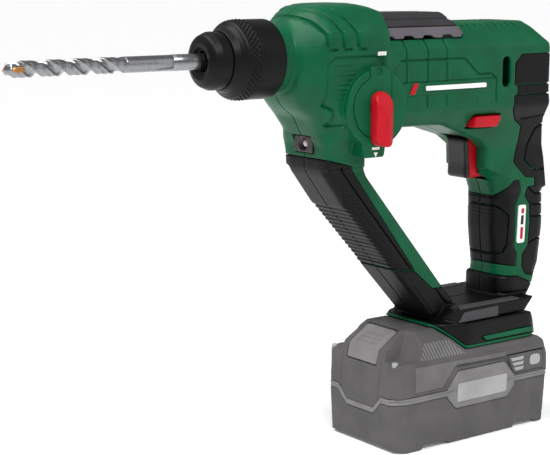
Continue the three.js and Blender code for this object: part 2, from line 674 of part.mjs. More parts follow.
function motor() {
  const can = [
    [CAN.front, 4], [CAN.front, CAN.radius], [CAN.rear, CAN.radius], [CAN.rear, 20.4],
    [CAN.front + 2, 20.4], [CAN.front + 2, 4], [CAN.front, 4],
  ];
  part("motor_can", turned(can, MOTOR_Z, 26), DARK_STEEL);
  part("magnet_ring", ring(-33, 8, 15.4, 20.1, MOTOR_Z, 24), DARK_STEEL);
  const shaft = union([
    rod(-56, 29, 2.4, MOTOR_Z, 12),
    rod(-31, 6, 14.2, MOTOR_Z, 20),
    gear(LARGE_GEAR.x0, LARGE_GEAR.x1 + 1, TEETH.motor, MOTOR_Z, 0.5),
  ]);
  part("rotor", shaft, DARK_STEEL);
  part("commutator", ring(9, 20, 2.8, 8, MOTOR_Z, 20), COPPER);
  const fan = union([ring(-39, -36.5, 2.8, 18, MOTOR_Z, 20), ring(-36.7, -33.5, 2.8, 7, MOTOR_Z, 20)]);
  part("fan", fan, BLACK);
  for (const [name, side] of [["left", -1], ["right", 1]]) {
    const [y0, y1] = side < 0 ? [-18.5, -8.3] : [8.3, 18.5];
    part(`brush_${name}`, box(11, 18, y0, y1, MOTOR_Z - 3, MOTOR_Z + 3), DARK_STEEL);
  }
  const cap = [
    [CAN.rear + GAP, 3], [CAN.rear + GAP, CAN.radius], [27, CAN.radius], [30, 9], [33, 9],
    [33, 3], [CAN.rear + GAP, 3],
  ];
  part("motor_end_cap", turned(cap, MOTOR_Z, 22), BLACK);
}

motor();

// ---------------------------------------------------------------- controls
const TRIGGER = { half: 10.6, low: 178.5, high: 207.5, travel: 7 };

function controls() {
  const face = [
    [7.5, 186, 8], [9.5, 178.5, 3], [27, 178.5], [27, 207.5], [7, 207.5, 5], [6, 196, 20],
  ];
  const shell = slab(outline(face), -TRIGGER.half, TRIGGER.half, 2);
  const pocket = slab(outline([[15, 182], [40, 182], [40, 204], [15, 204]]), -7.5, 7.5);
  const trimCut = box(13, 40, -40, 40, 170, 220);
  part("trigger", shell.subtract(trimCut).add(box(12, 16.7, -6, 6, 184, 202)), BLACK);
  const trimFront = box(-10, 13 + GAP, -40, 40, 170, 220);
  part("trigger_trim", shell.subtract(trimFront).subtract(pocket)
    .subtract(box(12, 17, -6.3, 6.3, 183.7, 202.3)), RED);
  const button = [[-7, 216.4], [15.7, 215.8], [20.7, 224.9], [-3.4, 224.9]];
  part("direction_switch", slab(outline(button), -36.5, 36.5, 1), RED);
  const box1 = box(36.5, 62, -12, 12, 182, 206);
  part("switch_module", box1.subtract(box(30, 40, -8, 8, 186, 200)), BLACK);
  part("handle_badge", slab(rectangle(50.6, 59.4, 129.6, 157, 1.6), -20.6, -19.65), WHITE);
}

function selector() {
  const cover = slab(outline(SELECTOR_OUTLINE), -37.6, -35.5);
  const stemHole = slab(circle(SELECTOR.x, SELECTOR.z, 6.8), -60, 0, 0, 1, 12);
  const screwHole = slab(circle(SELECTOR.x + 0.5, 259, 1.8), -60, 0, 0, 1, 5);
  part("selector_cover", cover.subtract(stemHole).subtract(screwHole), GREEN);
  const knobTop = [
    [SELECTOR.x - 5.8, 212, 5], [SELECTOR.x + 5.8, 212, 5], [SELECTOR.x + 5.8, 247, 5.5],
    [SELECTOR.x - 5.8, 247, 5.5],
  ];
  const lever = slab(outline(knobTop), -48.5, -37.9, 1.5);
  const stem = slab(circle(SELECTOR.x, SELECTOR.z, 6), -39, -22, 0, 1, 12);
  const slope = slab(outline([[-110, 236], [-80, 236], [-80, 260], [-110, 260]]), -60, -48.5);
  part("selector_knob", union([lever, stem]).subtract(slope), RED);
  const crank = box(SELECTOR.x - 7, SELECTOR.x + 7, -21.7, -19.2, SELECTOR.z - 7, SELECTOR.z + 7);
  const fork = box(SELECTOR.x + 1, SELECTOR.x + 4, -19.4, -8.2, SELECTOR.z + 1, SELECTOR.z + 4);
  part("shift_crank", crank.add(fork), DARK_STEEL);
}

function lamp() {
  const { z0, z1, half } = LED_WINDOW;
  part("led_lens", box(-127, -124, GAP - half, half - GAP, z0 + GAP, z1 - GAP), LENS);
}

controls();
selector();
lamp();

// ---------------------------------------------------------------- battery
const PACK_BASE = [
  [-69, 0], [63.5, 0, 2], [66.5, 33, 2], [70.5, BATTERY_SPLIT], [-78.5, BATTERY_SPLIT],
  [-75, 3, 2],
];
const PACK_TOP = [
  [-78.5, BATTERY_SPLIT + GAP], [70.5, BATTERY_SPLIT + GAP], [70.5, 41], [68.5, 50, 3], [63, 61],
  [58, 64.1], [-12.2, 64.1], [-33.2, 80.3], [-57, 80.3, 2], [-73.2, 69.6, 2], [-76, 62, 2],
  [-78.5, 44, 3],
];
const PACK_PLAN = [
  [-79, -31, 2], [-66, -BATTERY_HALF, 5], [70.5, -BATTERY_HALF, 7], [70.5, BATTERY_HALF, 7],
  [-66, BATTERY_HALF, 5], [-79, 31, 2],
];
const SHOULDER_SECTION = [
  [-BATTERY_HALF, -5], [BATTERY_HALF, -5], [BATTERY_HALF, 61, 3], [33, 74, 3], [24.5, 80.4, 2],
  [20, 82], [-20, 82], [-24.5, 80.4, 2], [-33, 74, 3], [-BATTERY_HALF, 61, 3],
];

function packShell(side, inset) {
  return slab(outline(side, -inset), -50, 50)
    .intersect(plate(outline(PACK_PLAN, -inset), -5, 95))
    .intersect(bar(outline(SHOULDER_SECTION, -inset), -90, 90));
}

function battery() {
  const baseHollow = packShell(PACK_BASE, 2.4).add(box(-66, 62, -34, 34, 20, BATTERY_SPLIT + 1));
  part("battery_base", packShell(PACK_BASE, 0).subtract(baseHollow), BATTERY_DARK);
  const rail = SLOT.groove - 0.4;
  const tower = union([
    box(-40, SLOT.rear - 0.4, 0.4 - SLOT.throat, SLOT.throat - 0.4, 60, 78.9),
    box(-24, SLOT.rear - 0.4, -rail, rail, SLOT.grooveLow + 0.4, SLOT.grooveHigh - 0.4),
  ]);
  const topHollow = packShell(PACK_TOP, 2.4).add(box(-66, 62, -34, 34, 30, 52));
  const buttonHole = slab(outline([[-85, 58.2], [-54.4, 58.2], [-53.8, 85], [-85, 85]]), -15.9, 15.9);
  const gaugeHole = slab(outline([[26, 54.2], [33, 39.8], [63.3, 39.8], [62.6, 54.2]]), -50, -30);
  const slots = union([-9, -3, 3, 9].map((y) => box(12, 60, y - 0.9, y + 0.9, 64, 90)));
  const shell = packShell(PACK_TOP, 0).subtract(topHollow);
  const cutTop = shell.add(tower.subtract(box(-36, 46, -19, 19, 40, 76)));
  part("battery_cover", cutTop.subtract(buttonHole).subtract(gaugeHole).subtract(slots), BATTERY_DARK);
  const button = [[-76.3, 58.6], [-58, 58.6], [-57.4, 79.9], [-73.2, 69.6]];
  part("battery_button", slab(outline(button), -15.5, 15.5, 1), BATTERY_LIGHT);
  const gauge = outline([[26.5, 53.8], [33.2, 40.2], [62.9, 40.2], [62.2, 53.8]]);
  const gaugeButtonHole = slab(rectangle(48, 60, 43, 52, 1), -50, -30);
  part("gauge_panel", slab(gauge, -37.8, -36).subtract(gaugeButtonHole), BATTERY_LIGHT);
  part("gauge_button", slab(rectangle(48.3, 59.7, 43.3, 51.7, 1), -38, -35.7), WHITE);
  for (const [name, z] of [["lower", 12.6], ["upper", 31.4]]) {
    const cells = [];
    for (let i = 0; i < 5; i += 1) {
      cells.push(pin("y", [-42 + i * 20, z], -32.5, 32.5, 9.2, 10));
    }
    cells.push(box(-42, 38, -29, 29, z - 1, z + 1));
    part(`cells_${name}`, union(cells), CELL);
  }
  const blades = [-9, -3, 3, 9].map((y) => box(18, 34, y - 0.4, y + 0.4, 65.5, 80.6));
  part("terminal_block", union([box(14, 44, -12, 12, 79.3, 80.7), ...blades]), DARK_STEEL);
}

battery();
part("control_board", box(40, 66, -11, 11, 90, 92), BOARD);

export default model;
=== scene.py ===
"""Looks of the rotary hammer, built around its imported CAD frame.

Moulded pieces are signed distance fields: outlines in the side (x, z), front (y, z) and
top (x, y) planes, intersected with rounded edges, lowered by grooves and turned into meshes.
Their sizes are in millimetres; Blender's are in metres.
"""
import json
import math
from functools import reduce

import bmesh
import bpy
import numpy as np
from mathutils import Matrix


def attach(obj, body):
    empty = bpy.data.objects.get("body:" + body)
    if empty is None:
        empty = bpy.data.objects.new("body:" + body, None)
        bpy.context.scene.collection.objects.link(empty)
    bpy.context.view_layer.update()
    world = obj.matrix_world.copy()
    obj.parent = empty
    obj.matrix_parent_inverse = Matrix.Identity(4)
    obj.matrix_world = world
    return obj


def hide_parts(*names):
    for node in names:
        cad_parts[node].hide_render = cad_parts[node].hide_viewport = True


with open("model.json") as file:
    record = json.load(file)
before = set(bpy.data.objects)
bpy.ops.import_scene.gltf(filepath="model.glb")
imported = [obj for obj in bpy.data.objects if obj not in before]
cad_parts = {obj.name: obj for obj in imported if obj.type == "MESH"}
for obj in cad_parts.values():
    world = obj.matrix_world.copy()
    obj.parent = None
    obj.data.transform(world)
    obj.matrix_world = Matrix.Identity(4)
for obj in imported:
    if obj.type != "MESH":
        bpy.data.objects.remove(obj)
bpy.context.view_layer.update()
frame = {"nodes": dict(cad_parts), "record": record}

import openvdb
from mathutils import Matrix, Vector

MM = 0.001
DRILL_Z = 267.5
GRIP_HALF = 19.5
ARM_HALF = 20.5
FOOT_HALF = 37
DECK_HALF = 33.5
SELECTOR = (-95.5, 236)
LAMP_Z = 211.75
SIDES = ((-1, "left"), (1, "right"))

CAMERA_LENS = 96.3
CAMERA_PLACE = (-0.704, -0.752, 0.322)
CAMERA_FORWARD = (0.5846, 0.7929, -0.1719)

# ---------------- camera


def place_camera():
    data = bpy.data.cameras.new("camera")
    data.lens = CAMERA_LENS
    data.sensor_width = 36
    data.clip_start, data.clip_end = 0.01, 20
    camera = bpy.data.objects.new("camera", data)
    camera.location = CAMERA_PLACE
    forward = Vector(CAMERA_FORWARD)
    camera.rotation_euler = forward.to_track_quat("-Z", "Y").to_euler()
    bpy.context.scene.collection.objects.link(camera)
    bpy.context.scene.camera = camera


place_camera()

# ---------------- distance fields


def rounded(corners, step=math.radians(15)):
    """Corners as (a, b) or (a, b, radius), with each radius turned into points of an arc."""
    points = []
    count = len(corners)
    for i, corner in enumerate(corners):
        here = Vector(corner[:2])
        radius = corner[2] if len(corner) > 2 else 0
        into = (here - Vector(corners[i - 1][:2])).normalized()
        away = (Vector(corners[(i + 1) % count][:2]) - here).normalized()
        turn = math.atan2(into.cross(away), into.dot(away))
        if radius < 0.2 or abs(turn) < 0.02:
            points.append(tuple(here))
            continue
        start = here - into * radius * math.tan(abs(turn) / 2)
        side = math.copysign(radius, turn)
        centre = start + Vector((-into.y, into.x)) * side
        steps = max(1, math.ceil(abs(turn) / step))
        for k in range(steps + 1):
            arm = start - centre
            arm.rotate(Matrix.Rotation(turn * k / steps, 2))
            points.append(tuple(centre + arm))
    return points


def mirrored(half, axis):
    """A whole outline from one half of its corners; axis is the coordinate that changes sign."""
    other = [tuple(-v if i == axis else v for i, v in enumerate(p)) for p in reversed(half)]
    return half + other


def segments_distance(pairs, a, b):
    """Squared distance from the points of a plane to the nearest of some line segments."""
    best = None
    for (ax, ay), (bx, by) in pairs:
        ex, ey = bx - ax, by - ay
        along = ((a - ax) * ex + (b - ay) * ey) / max(ex * ex + ey * ey, 1e-9)
        along = np.clip(along, 0, 1)
        square = (a - ax - along * ex) ** 2 + (b - ay - along * ey) ** 2
        best = square if best is None else np.minimum(best, square)
    return best


def polygon(corners, a, b):
    """Signed distance to a closed outline, negative inside."""
    points = rounded(corners)
    pairs = list(zip(points, points[1:] + points[:1]))
    distance = np.sqrt(segments_distance(pairs, a, b))
    inside = np.zeros(distance.shape, bool)
    for (ax, ay), (bx, by) in pairs:
        if ay != by:
            spans = (ay > b) != (by > b)
            inside ^= spans & (a < (bx - ax) * (b - ay) / (by - ay) + ax)
    return np.where(inside, -distance, distance).astype(np.float32)


def line(points, a, b):
    """Distance to an open line."""
    pairs = list(zip(points, points[1:]))
    return np.sqrt(segments_distance(pairs, a, b)).astype(np.float32)


def both(first, second, radius=0.0):
    """The overlap of two fields, with the edge between them rounded."""
    sharp = np.maximum(first, second)
    if radius <= 0:
        return sharp
    one, two = np.maximum(first + radius, 0), np.maximum(second + radius, 0)
    return np.minimum(-radius, sharp) + np.sqrt(one * one + two * two)


def either(first, second, radius=0.0):
    """The union of two fields, with the corner between them filled."""
    return -both(-first, -second, radius)


def without(first, second, radius=0.0):
    """The first field with the second cut away."""
    return both(first, -second, radius)


def overlap(*fields):
    """The sharp overlap of several fields."""
    return reduce(np.maximum, fields)


def union(*fields):
    """The sharp union of several fields."""
    return reduce(np.minimum, fields)


def step_down(distance, width, soft=0.5):
    """1 inside a strip of that width, falling to 0 over the soft edge."""
    return np.clip((width / 2 + soft - distance) / soft, 0, 1)


def stroke(points, a, b, width):
    """1 along an open line, falling to 0 beside it."""
    return step_down(line(points, a, b), width)


class Space:
    """A grid of points in millimetres over a box, and the mesh of a field on it."""

    def __init__(self, low, high, voxel):
        self.low, self.voxel = low, voxel
        axes = [np.arange(lo, hi + voxel, voxel, np.float32) for lo, hi in zip(low, high)]
        self.x = axes[0][:, None, None]
        self.y = axes[1][None, :, None]
        self.z = axes[2][None, None, :]
        self.axes = self.x, self.y, self.z

    def flat(self):
        """Zero at every (x, z)."""
        return np.zeros((self.x.size, 1, self.z.size), np.float32)

    def piece(self, name, field, *finish):
        """The mesh of a field as a finished piece."""
        return finish_piece(self.mesh(name, field), *finish)

    def mesh(self, name, field, adaptivity=0.03):
        band = 3 * self.voxel
        shape = (self.x.size, self.y.size, self.z.size)
        field = np.clip(np.broadcast_to(field, shape), -band, band).astype(np.float32)
        for axis in range(3):
            for end in (0, -1):
                edge = [slice(None)] * 3
                edge[axis] = end
                field[tuple(edge)] = band
        grid = openvdb.FloatGrid(band)
        grid.copyFromArray(np.ascontiguousarray(field))
        points, triangles, quads = grid.convertToPolygons(0.0, adaptivity)
        points = points * self.voxel + np.array(self.low, np.float32)
        return mesh_object(name, points * MM, triangles, quads)


def mesh_object(name, points, triangles, quads):
    """A smooth mesh object from arrays of points and faces; the faces keep the winding they are
    given.
    """
    mesh = bpy.data.meshes.new(name)
    mesh.vertices.add(len(points))
    mesh.vertices.foreach_set("co", np.asarray(points, np.float32).ravel())
    loops = np.concatenate([triangles.ravel(), quads.ravel()])
    sizes = [3] * len(triangles) + [4] * len(quads)
    starts = np.concatenate([[0], np.cumsum(sizes)[:-1]]).astype(np.int32)
    mesh.loops.add(len(loops))
    mesh.loops.foreach_set("vertex_index", loops.astype(np.int32))
    mesh.polygons.add(len(sizes))
    mesh.polygons.foreach_set("loop_start", starts)
    mesh.update(calc_edges=True)
    mesh.validate()
    mesh.shade_smooth()
    piece = bpy.data.objects.new(name, mesh)
    bpy.context.scene.collection.objects.link(piece)
    return piece


def finish_piece(piece, material, body, *nodes, slot=None):
    """Gives a piece its material and its body, and hides the CAD nodes that it stands for."""
    slot = slot or SLOT_OF[material.name]
    piece.data.materials.clear()
    piece.data.materials.append(material)
    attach(piece, body)
    if nodes:
        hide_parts(*nodes)
    return piece


# ---------------- materials


def new_material(name, roughness, metallic=0.0):
    material = bpy.data.materials.new(name)
    material.use_nodes = True
    nodes = material.node_tree.nodes
    shader = nodes["Principled BSDF"]
    shader.inputs["Roughness"].default_value = roughness
    shader.inputs["Metallic"].default_value = metallic
    return material, material.node_tree, shader


def linear(rgb):
    """A colour given as sRGB hex, in Blender's linear values."""
    values = [int(rgb[i : i + 2], 16) / 255 for i in (0, 2, 4)]
    return [c / 12.92 if c <= 0.04045 else ((c + 0.055) / 1.055) ** 2.4 for c in values] + [1]


def grain(tree, scale, detail=4.0):
    coordinates = tree.nodes.new("ShaderNodeTexCoord")
    noise = tree.nodes.new("ShaderNodeTexNoise")
    noise.inputs["Scale"].default_value = scale
    noise.inputs["Detail"].default_value = detail
    tree.links.new(coordinates.outputs["Object"], noise.inputs["Vector"])
    return noise.outputs["Fac"]


def ramp(tree, value, low, high, start=0.35, end=0.65):
    node = tree.nodes.new("ShaderNodeValToRGB")
    node.color_ramp.elements[0].position = start
    node.color_ramp.elements[0].color = low
    node.color_ramp.elements[1].position = end
    node.color_ramp.elements[1].color = high
    tree.links.new(value, node.inputs["Fac"])
    return node.outputs["Color"]


def tint(tree, shader, value, low, high):
    tree.links.new(ramp(tree, value, low, high), shader.inputs["Base Color"])


def spread(tree, value, low, high):
    node = tree.nodes.new("ShaderNodeMapRange")
    node.inputs["To Min"].default_value = low
    node.inputs["To Max"].default_value = high
    tree.links.new(value, node.inputs["Value"])
    return node.outputs["Result"]


def bump(tree, shader, value, strength, distance):
    node = tree.nodes.new("ShaderNodeBump")
    node.inputs["Strength"].default_value = strength
    node.inputs["Distance"].default_value = distance
    tree.links.new(value, node.inputs["Height"])
    tree.links.new(node.outputs["Normal"], shader.inputs["Normal"])


def shade(color, amount):
    return [min(1, c * amount) for c in color[:3]] + [1]


def moulded(name, rgb, roughness, grain_size=0.35, relief=0.25, sheen=0.0, gloss=0.2):
    """Spark-eroded plastic or rubber: fine grain in the surface, slight clouds in the colour."""
    material, tree, shader = new_material(name, roughness)
    color = linear(rgb)
    clouds = grain(tree, 60, 2)
    tint(tree, shader, clouds, shade(color, 0.9), shade(color, 1.1))
    fine = grain(tree, 1000 / grain_size, 3)
    tree.links.new(
        spread(tree, fine, roughness - 0.08, roughness + 0.1),
        shader.inputs["Roughness"],
    )
    bump(tree, shader, fine, relief, 0.00006)
    shader.inputs["Sheen Weight"].default_value = sheen
    shader.inputs["Specular IOR Level"].default_value = gloss
    return material


def metal(name, rgb, roughness, scratch=0.15, metallic=1.0):
    """Ground metal with fine turning marks across the X axis."""
    material, tree, shader = new_material(name, roughness, metallic)
    color = linear(rgb)
    coordinates = tree.nodes.new("ShaderNodeTexCoord")
    stretch = tree.nodes.new("ShaderNodeMapping")
    stretch.inputs["Scale"].default_value = (2500, 90, 90)
    noise = tree.nodes.new("ShaderNodeTexNoise")
    noise.inputs["Scale"].default_value = 1.0
    noise.inputs["Detail"].default_value = 4.0
    tree.links.new(coordinates.outputs["Object"], stretch.inputs["Vector"])
    tree.links.new(stretch.outputs["Vector"], noise.inputs["Vector"])
    marks = noise.outputs["Fac"]
    tint(tree, shader, marks, shade(color, 0.85), shade(color, 1.08))
    tree.links.new(
        spread(tree, marks, roughness - 0.06, roughness + 0.12),
        shader.inputs["Roughness"],
    )
    bump(tree, shader, marks, scratch, 0.00003)
    return material


GREEN = moulded("green_plastic", "004f30", 0.38, gloss=0.17)
BLACK = moulded("black_rubber", "080809", 0.42, 0.3, 0.4, gloss=0.15)
BLACK_HARD = moulded("black_plastic", "0d0d0e", 0.3, gloss=0.4)
PANEL = moulded("foot_panel", "403e41", 0.6, 0.5, 0.5)
INLAY = moulded("grey_plastic", "565258", 0.5, 0.5, 0.4)
# Painted shade: the cap's crown is the skirt's grey plastic painted darker for the shade on its
# upward faces.
INLAY_PAINTED_SHADE = moulded("grey_crown_painted_shade", "2b2a2c", 0.5, 0.5, 0.4)
RED = moulded("red_plastic", "ac0c1c", 0.4)
WHITE = moulded("white_plastic", "ecebe9", 0.4)
PACK = moulded("battery_grey", "535152", 0.6)
# Painted light: the battery grey made lighter on the side wings, for the light that falls on the
# side face.
PACK_PAINTED_LIGHT_SIDE = moulded("battery_side_painted_light", "626061", 0.55)
PACK_LIGHT = moulded("battery_light_grey", "747273", 0.5)
PACK_LABEL = moulded("battery_label", "9b9a9a", 0.4)
STEEL = metal("steel", "8d8e90", 0.24)
DARK_STEEL = metal("dark_steel", "6c6e71", 0.36)
ALLOY = metal("gear_plate_alloy", "a9abad", 0.45)
CARBIDE = metal("carbide", "a8713c", 0.42, 0.4, 0.6)
COPPER = metal("copper", "b87333", 0.35)
WRAP = moulded("cell_wrap", "4f6f9a", 0.35)
BOARD = moulded("circuit_board", "1d4a2a", 0.5)


def smoky_lens():
    material, tree, shader = new_material("lens", 0.12)
    streaks = grain(tree, 500, 2)
    tint(tree, shader, streaks, linear("21181b"), linear("3a2f32"))
    shader.inputs["Coat Weight"].default_value = 0.15
    shader.inputs["Specular IOR Level"].default_value = 0.3
    return material


LENS = smoky_lens()
LENS_CLEAR = moulded("lamp_clear", "d8d2cf", 0.15)

SLOT_MATERIAL = {
    "green_plastic": GREEN,
    "black_rubber": BLACK,
    "black_plastic": BLACK_HARD,
    "grey_plastic": INLAY,
    "red_plastic": RED,
    "white_plastic": WHITE,
    "battery_grey": PACK,
    "battery_light_grey": PACK_LIGHT,
    "lens": LENS,
    "steel": STEEL,
    "dark_steel": DARK_STEEL,
    "gear_plate_alloy": ALLOY,
    "carbide": CARBIDE,
    "copper": COPPER,
    "cell_wrap": WRAP,
    "circuit_board": BOARD,
}
SLOT_OF = {look.name: slot for slot, look in SLOT_MATERIAL.items()}
for look, slot in (
    (PANEL, "grey_plastic"), (INLAY_PAINTED_SHADE, "grey_plastic"), (LENS_CLEAR, "lens"),
    (PACK_PAINTED_LIGHT_SIDE, "battery_light_grey"), (PACK_LABEL, "battery_light_grey"),
):
    SLOT_OF[look.name] = slot
for entry in frame["record"]["subparts"]:
    kept = frame["nodes"][entry["node"]]
    kept.data.materials.clear()
    kept.data.materials.append(SLOT_MATERIAL[entry["material_slot"]])

# ---------------- tool body
CASE_SIDE = [
    (-124.6, 196), (-93, 196), (-93, 214, 6), (-84, 221), (-82, 221), (-82, 296.4),
    (-90, 299.8, 8), (-101, 302.6, 20), (-118, 302.3), (-133, 300.2, 20),
    (-147, 297, 4), (-150.5, 289, 4), (-150.5, 244, 3), (-143, 235.5, 8), (-135, 229.6, 8),
    (-129.6, 219), (-126, 211, 6),
]
MOTOR_SIDE = [
    (-84, 221), (-30, 219.8, 12), (-8, 212.4), (9, 207, 6), (17.5, 200), (17.5, 186),
    (36, 180), (42, 168), (81, 168), (76.2, 190, 20), (69, 214, 20), (65.4, 240), (65.6, 266, 3),
    (65.2, 273.5, 2), (51.5, 288.6, 3), (-84, 288.6),
]
GRIP_SIDE = [
    (34, 90), (66, 90), (75, 100), (80, 112), (83.5, 140, 30), (82.5, 165, 20), (75.8, 195),
    (69, 214), (18, 214), (18, 181), (29.5, 175.5, 6), (33, 166.5), (33.5, 140, 30), (37, 112),
]
ARM_SIDE = [
    (-30, 86), (0, 86), (-18.7, 107), (-88.7, 190, 12), (-93, 203), (-93, 214), (-125, 214),
    (-125.4, 194, 9), (-107.2, 170),
]
FOOT_SIDE = [
    (-36.8, 80.4), (-33, 80.4), (-12, 64.5), (61, 64.5), (55.5, 77), (51, 83), (-24, 83),
    (-36, 82.6),
]
DECK_SIDE = [(-25, 84.5), (-24, 82.5), (47, 82.5), (50, 86), (56.5, 92.7), (-20, 92.7)]
FOOT_PLAN = mirrored([(-36, -22), (-26, -30, 6), (-8, -37, 8), (50, -37, 10), (70, -26, 10)], 1)
COLLAR_SIDE = [(34.5, 88), (60, 88), (66, 96), (74, 107), (34.5, 107)]
COLLAR_PLAN = mirrored([(34.5, -21.5, 12), (75, -21.5, 12)], 1)
CASE_SECTION = mirrored(
    [
        (23.5, 190), (23.5, 207, 10), (36, 228, 8), (36, 281, 14), (20, 303, 20),
    ],
    0,
)
MOTOR_SECTION = mirrored(
    [
        (19.5, 165), (21.5, 200, 8), (27, 219.5, 4), (34.5, 231, 3), (34.5, 271, 4),
        (24, 284, 4), (17, 288.8, 6),
    ],
    0,
)
CASE_PLAN = mirrored([(-150.5, -23), (-149, -29, 4), (-139, -36, 12), (-56, -36)], 1)
MOTOR_PLAN = mirrored([(-84, -34.5), (69, -34.5, 9), (84, -17, 8)], 1)
ARM_PAD = [
    (-150, 180), (-96, 133), (-76, 126), (-47, 122), (-105, 197.5), (-126.5, 203.2), (-150, 205),
]
FOOT_PAD = [
    (-60, 83.2), (-33, 83.2), (-30.5, 81.6), (-11.3, 67), (95, 67), (95, 97), (66, 99),
    (52, 105.5), (31, 107.5), (18, 106.5), (-30, 106.5), (-47, 121), (-76, 125),
]
FRONT_GRIP = [
    (20, 117.5), (51, 113), (52, 121), (49, 127), (49, 157), (54, 166, 3), (51, 175),
    (46, 175.5, 3), (34, 164.5), (20, 166),
]
REAR_GRIP = [
    (37, 265.4), (31, 259.5), (31, 245), (34, 243.5), (34, 238.5), (31, 237), (31, 228),
    (38, 220), (46, 215), (47, 203), (44.5, 189), (57, 177.5), (67, 176), (67, 170),
    (60, 169.5), (59, 163), (63.5, 157), (64.5, 143), (63, 127), (57.5, 121), (57.5, 112),
    (61, 106), (70, 104), (95, 104), (95, 265.4),
]
PADS = {
    "arm_pad": ARM_PAD,
    "foot_cover": FOOT_PAD,
    "front_grip": FRONT_GRIP,
    "rear_grip": REAR_GRIP,
}
WALL = 3.4
SEAM = 0.28
PAD_THICK = 1.6
SEAT_DEPTH = 1.9
COVER_SEAT = 35.3  # distance of the selector cover's seat from the middle plane
RELIEF_SPLIT = -84  # the gear case's relief ends here and the motor housing's begins
SIDE_RECESS = [
    (-87, 224), (-87, 270), (-128, 270), (-135, 265), (-136, 238), (-132, 235.5),
    (-128.5, 233.5), (-127.5, 228.5), (-131, 225.5), (-126, 223),
]
BATTERY_SLOT = {"rear": 50, "half": 22.6, "groove": 27.6, "low": 67.6, "high": 73.6, "roof": 81}


def slab_field(space, corners):
    return polygon(corners, space.x, space.z)


def body_field(space):
    """The tool's whole outside, with its edges rounded and no surface detail."""
    x, y, z = space.axes
    wide = np.abs(y)
    case = both(slab_field(space, CASE_SIDE), polygon(CASE_SECTION, y, z), 3)
    case = both(case, polygon(CASE_PLAN, x, y), 5)
    around = np.sqrt(y * y + (z - 262.5) ** 2)
    slope = 0.9 + 0.28 * np.clip((258 - z) / 18, 0, 1)
    cone = (around - 22.9 - slope * (x + 151)) / np.sqrt(1 + slope**2)
    cone = np.minimum(cone, (z - 222) * 0.5)
    case = both(case, cone, 4)
    corner = 0.7 * (wide - x - 149.5) - 0.6 * np.clip(z - 221, 0, None)
    case = both(case, corner, 3)
    motor = both(slab_field(space, MOTOR_SIDE), polygon(MOTOR_SECTION, y, z), 2.5)
    motor = both(motor, polygon(MOTOR_PLAN, x, y), 2.5)
    grip = both(slab_field(space, GRIP_SIDE), wide - GRIP_HALF, 12)
    arm = both(slab_field(space, ARM_SIDE), wide - ARM_HALF, 5)
    body = either(case, motor, 1.2)
    body = either(body, grip, 3)
    body = either(body, arm, 2)
    cheeks = both(slab_field(space, FOOT_SIDE), wide - FOOT_HALF, 1.5)
    deck = both(slab_field(space, DECK_SIDE), wide - DECK_HALF, 1.5)
    deck = both(deck, 0.65 * (wide - 22) - 0.75 * (x + 28), 1.5)
    foot = both(either(cheeks, deck), polygon(FOOT_PLAN, x, y), 2)
    collar = both(slab_field(space, COLLAR_SIDE), polygon(COLLAR_PLAN, x, y), 3)
    body = either(body, either(foot, collar, 1), 0.8)
    around = np.sqrt(y * y + (z - DRILL_Z) ** 2)
    nose = both(around - 22, np.maximum(-160 - x, x + 140), 1)
    return either(body, nose, 2.5)


def side_relief(space):
    """How far the flat sides stand proud of, or lie below, the plain body, by (x, z)."""
    x, z = space.x, space.z
    lift = space.flat()
    recess = polygon(SIDE_RECESS, x, z)
    lift -= 2.3 * np.clip(-recess / 2.0, 0, 1)
    lift -= 0.5 * step_down(np.abs(recess + 2.2), 0.5)
    for left in (-133, -121.3, -109.5):
        sweep = [
            (left, 275), (left - 0.5, 283), (left - 5, 291), (left - 14, 299), (left - 25, 304),
        ]
        taper = np.clip((306 - z) / 30, 0.25, 1)
        lift -= 1.6 * taper * stroke(sweep, x, z, 1.7)
        lift -= 1.2 * taper * stroke(sweep, x, z, 0.5)
        lift -= 1.3 * stroke([(left, 273.4), (left + 6.5, 273.4)], x, z, 0.7)
        block = polygon(
            [(left + 1.6, 274.2), (left + 6.8, 274.2), (left + 6.8, 285), (left + 1.6, 285)], x, z
        )
        lift += 1.5 * np.clip(0.5 - block / 0.5, 0, 1)
    for k in range(9):
        level = 240 + 3 * k
        front, rear = -128.5 + 0.4 * abs(k - 4), -111 - 0.8 * abs(k - 5)
        rib = line([(front, level), (rear, level)], x, z)
        lift += 0.9 * step_down(rib, 0.5)
    return lift


def motor_relief(space):
    """The lines and fine ribs on the motor housing's sides, by (x, z)."""
    x, z = space.x, space.z
    lift = space.flat()
    frame_line = [
        (-79, 234), (-79, 257), (-73, 264.5), (-17, 264.5), (-4, 253.5), (8, 253.5), (13, 250),
        (13, 234.5),
    ]
    lift -= 1.7 * stroke(frame_line, x, z, 0.8)
    for left in (-68.5, -50, -33):
        lift -= 1.8 * stroke([(left, 250.5), (left, 276), (left - 2, 285)], x, z, 0.7)
        lift -= 1.6 * stroke([(left, 234), (left, 240.5)], x, z, 0.8)
    for low, high, left, right in ((251, 262, -76, -6), (234.5, 239.5, -76, 10)):
        for k in range(int((high - low) / 1.9)):
            level = low + 1.9 * k
            for start in range(left, right - 8, 18):
                rib = line([(start, level), (min(start + 9, right), level)], x, z)
                lift += 0.5 * step_down(rib, 0.4)
    for level in (257.5, 260.5, 263.5, 266.5):
        lift += 0.25 * stroke([(-8, level + 2), (7, level + 2)], x, z, 0.4)
    for level in (250.3, 241.6):
        lift -= 1.1 * stroke([(-77, level), (12, level)], x, z, 0.45)
    return lift


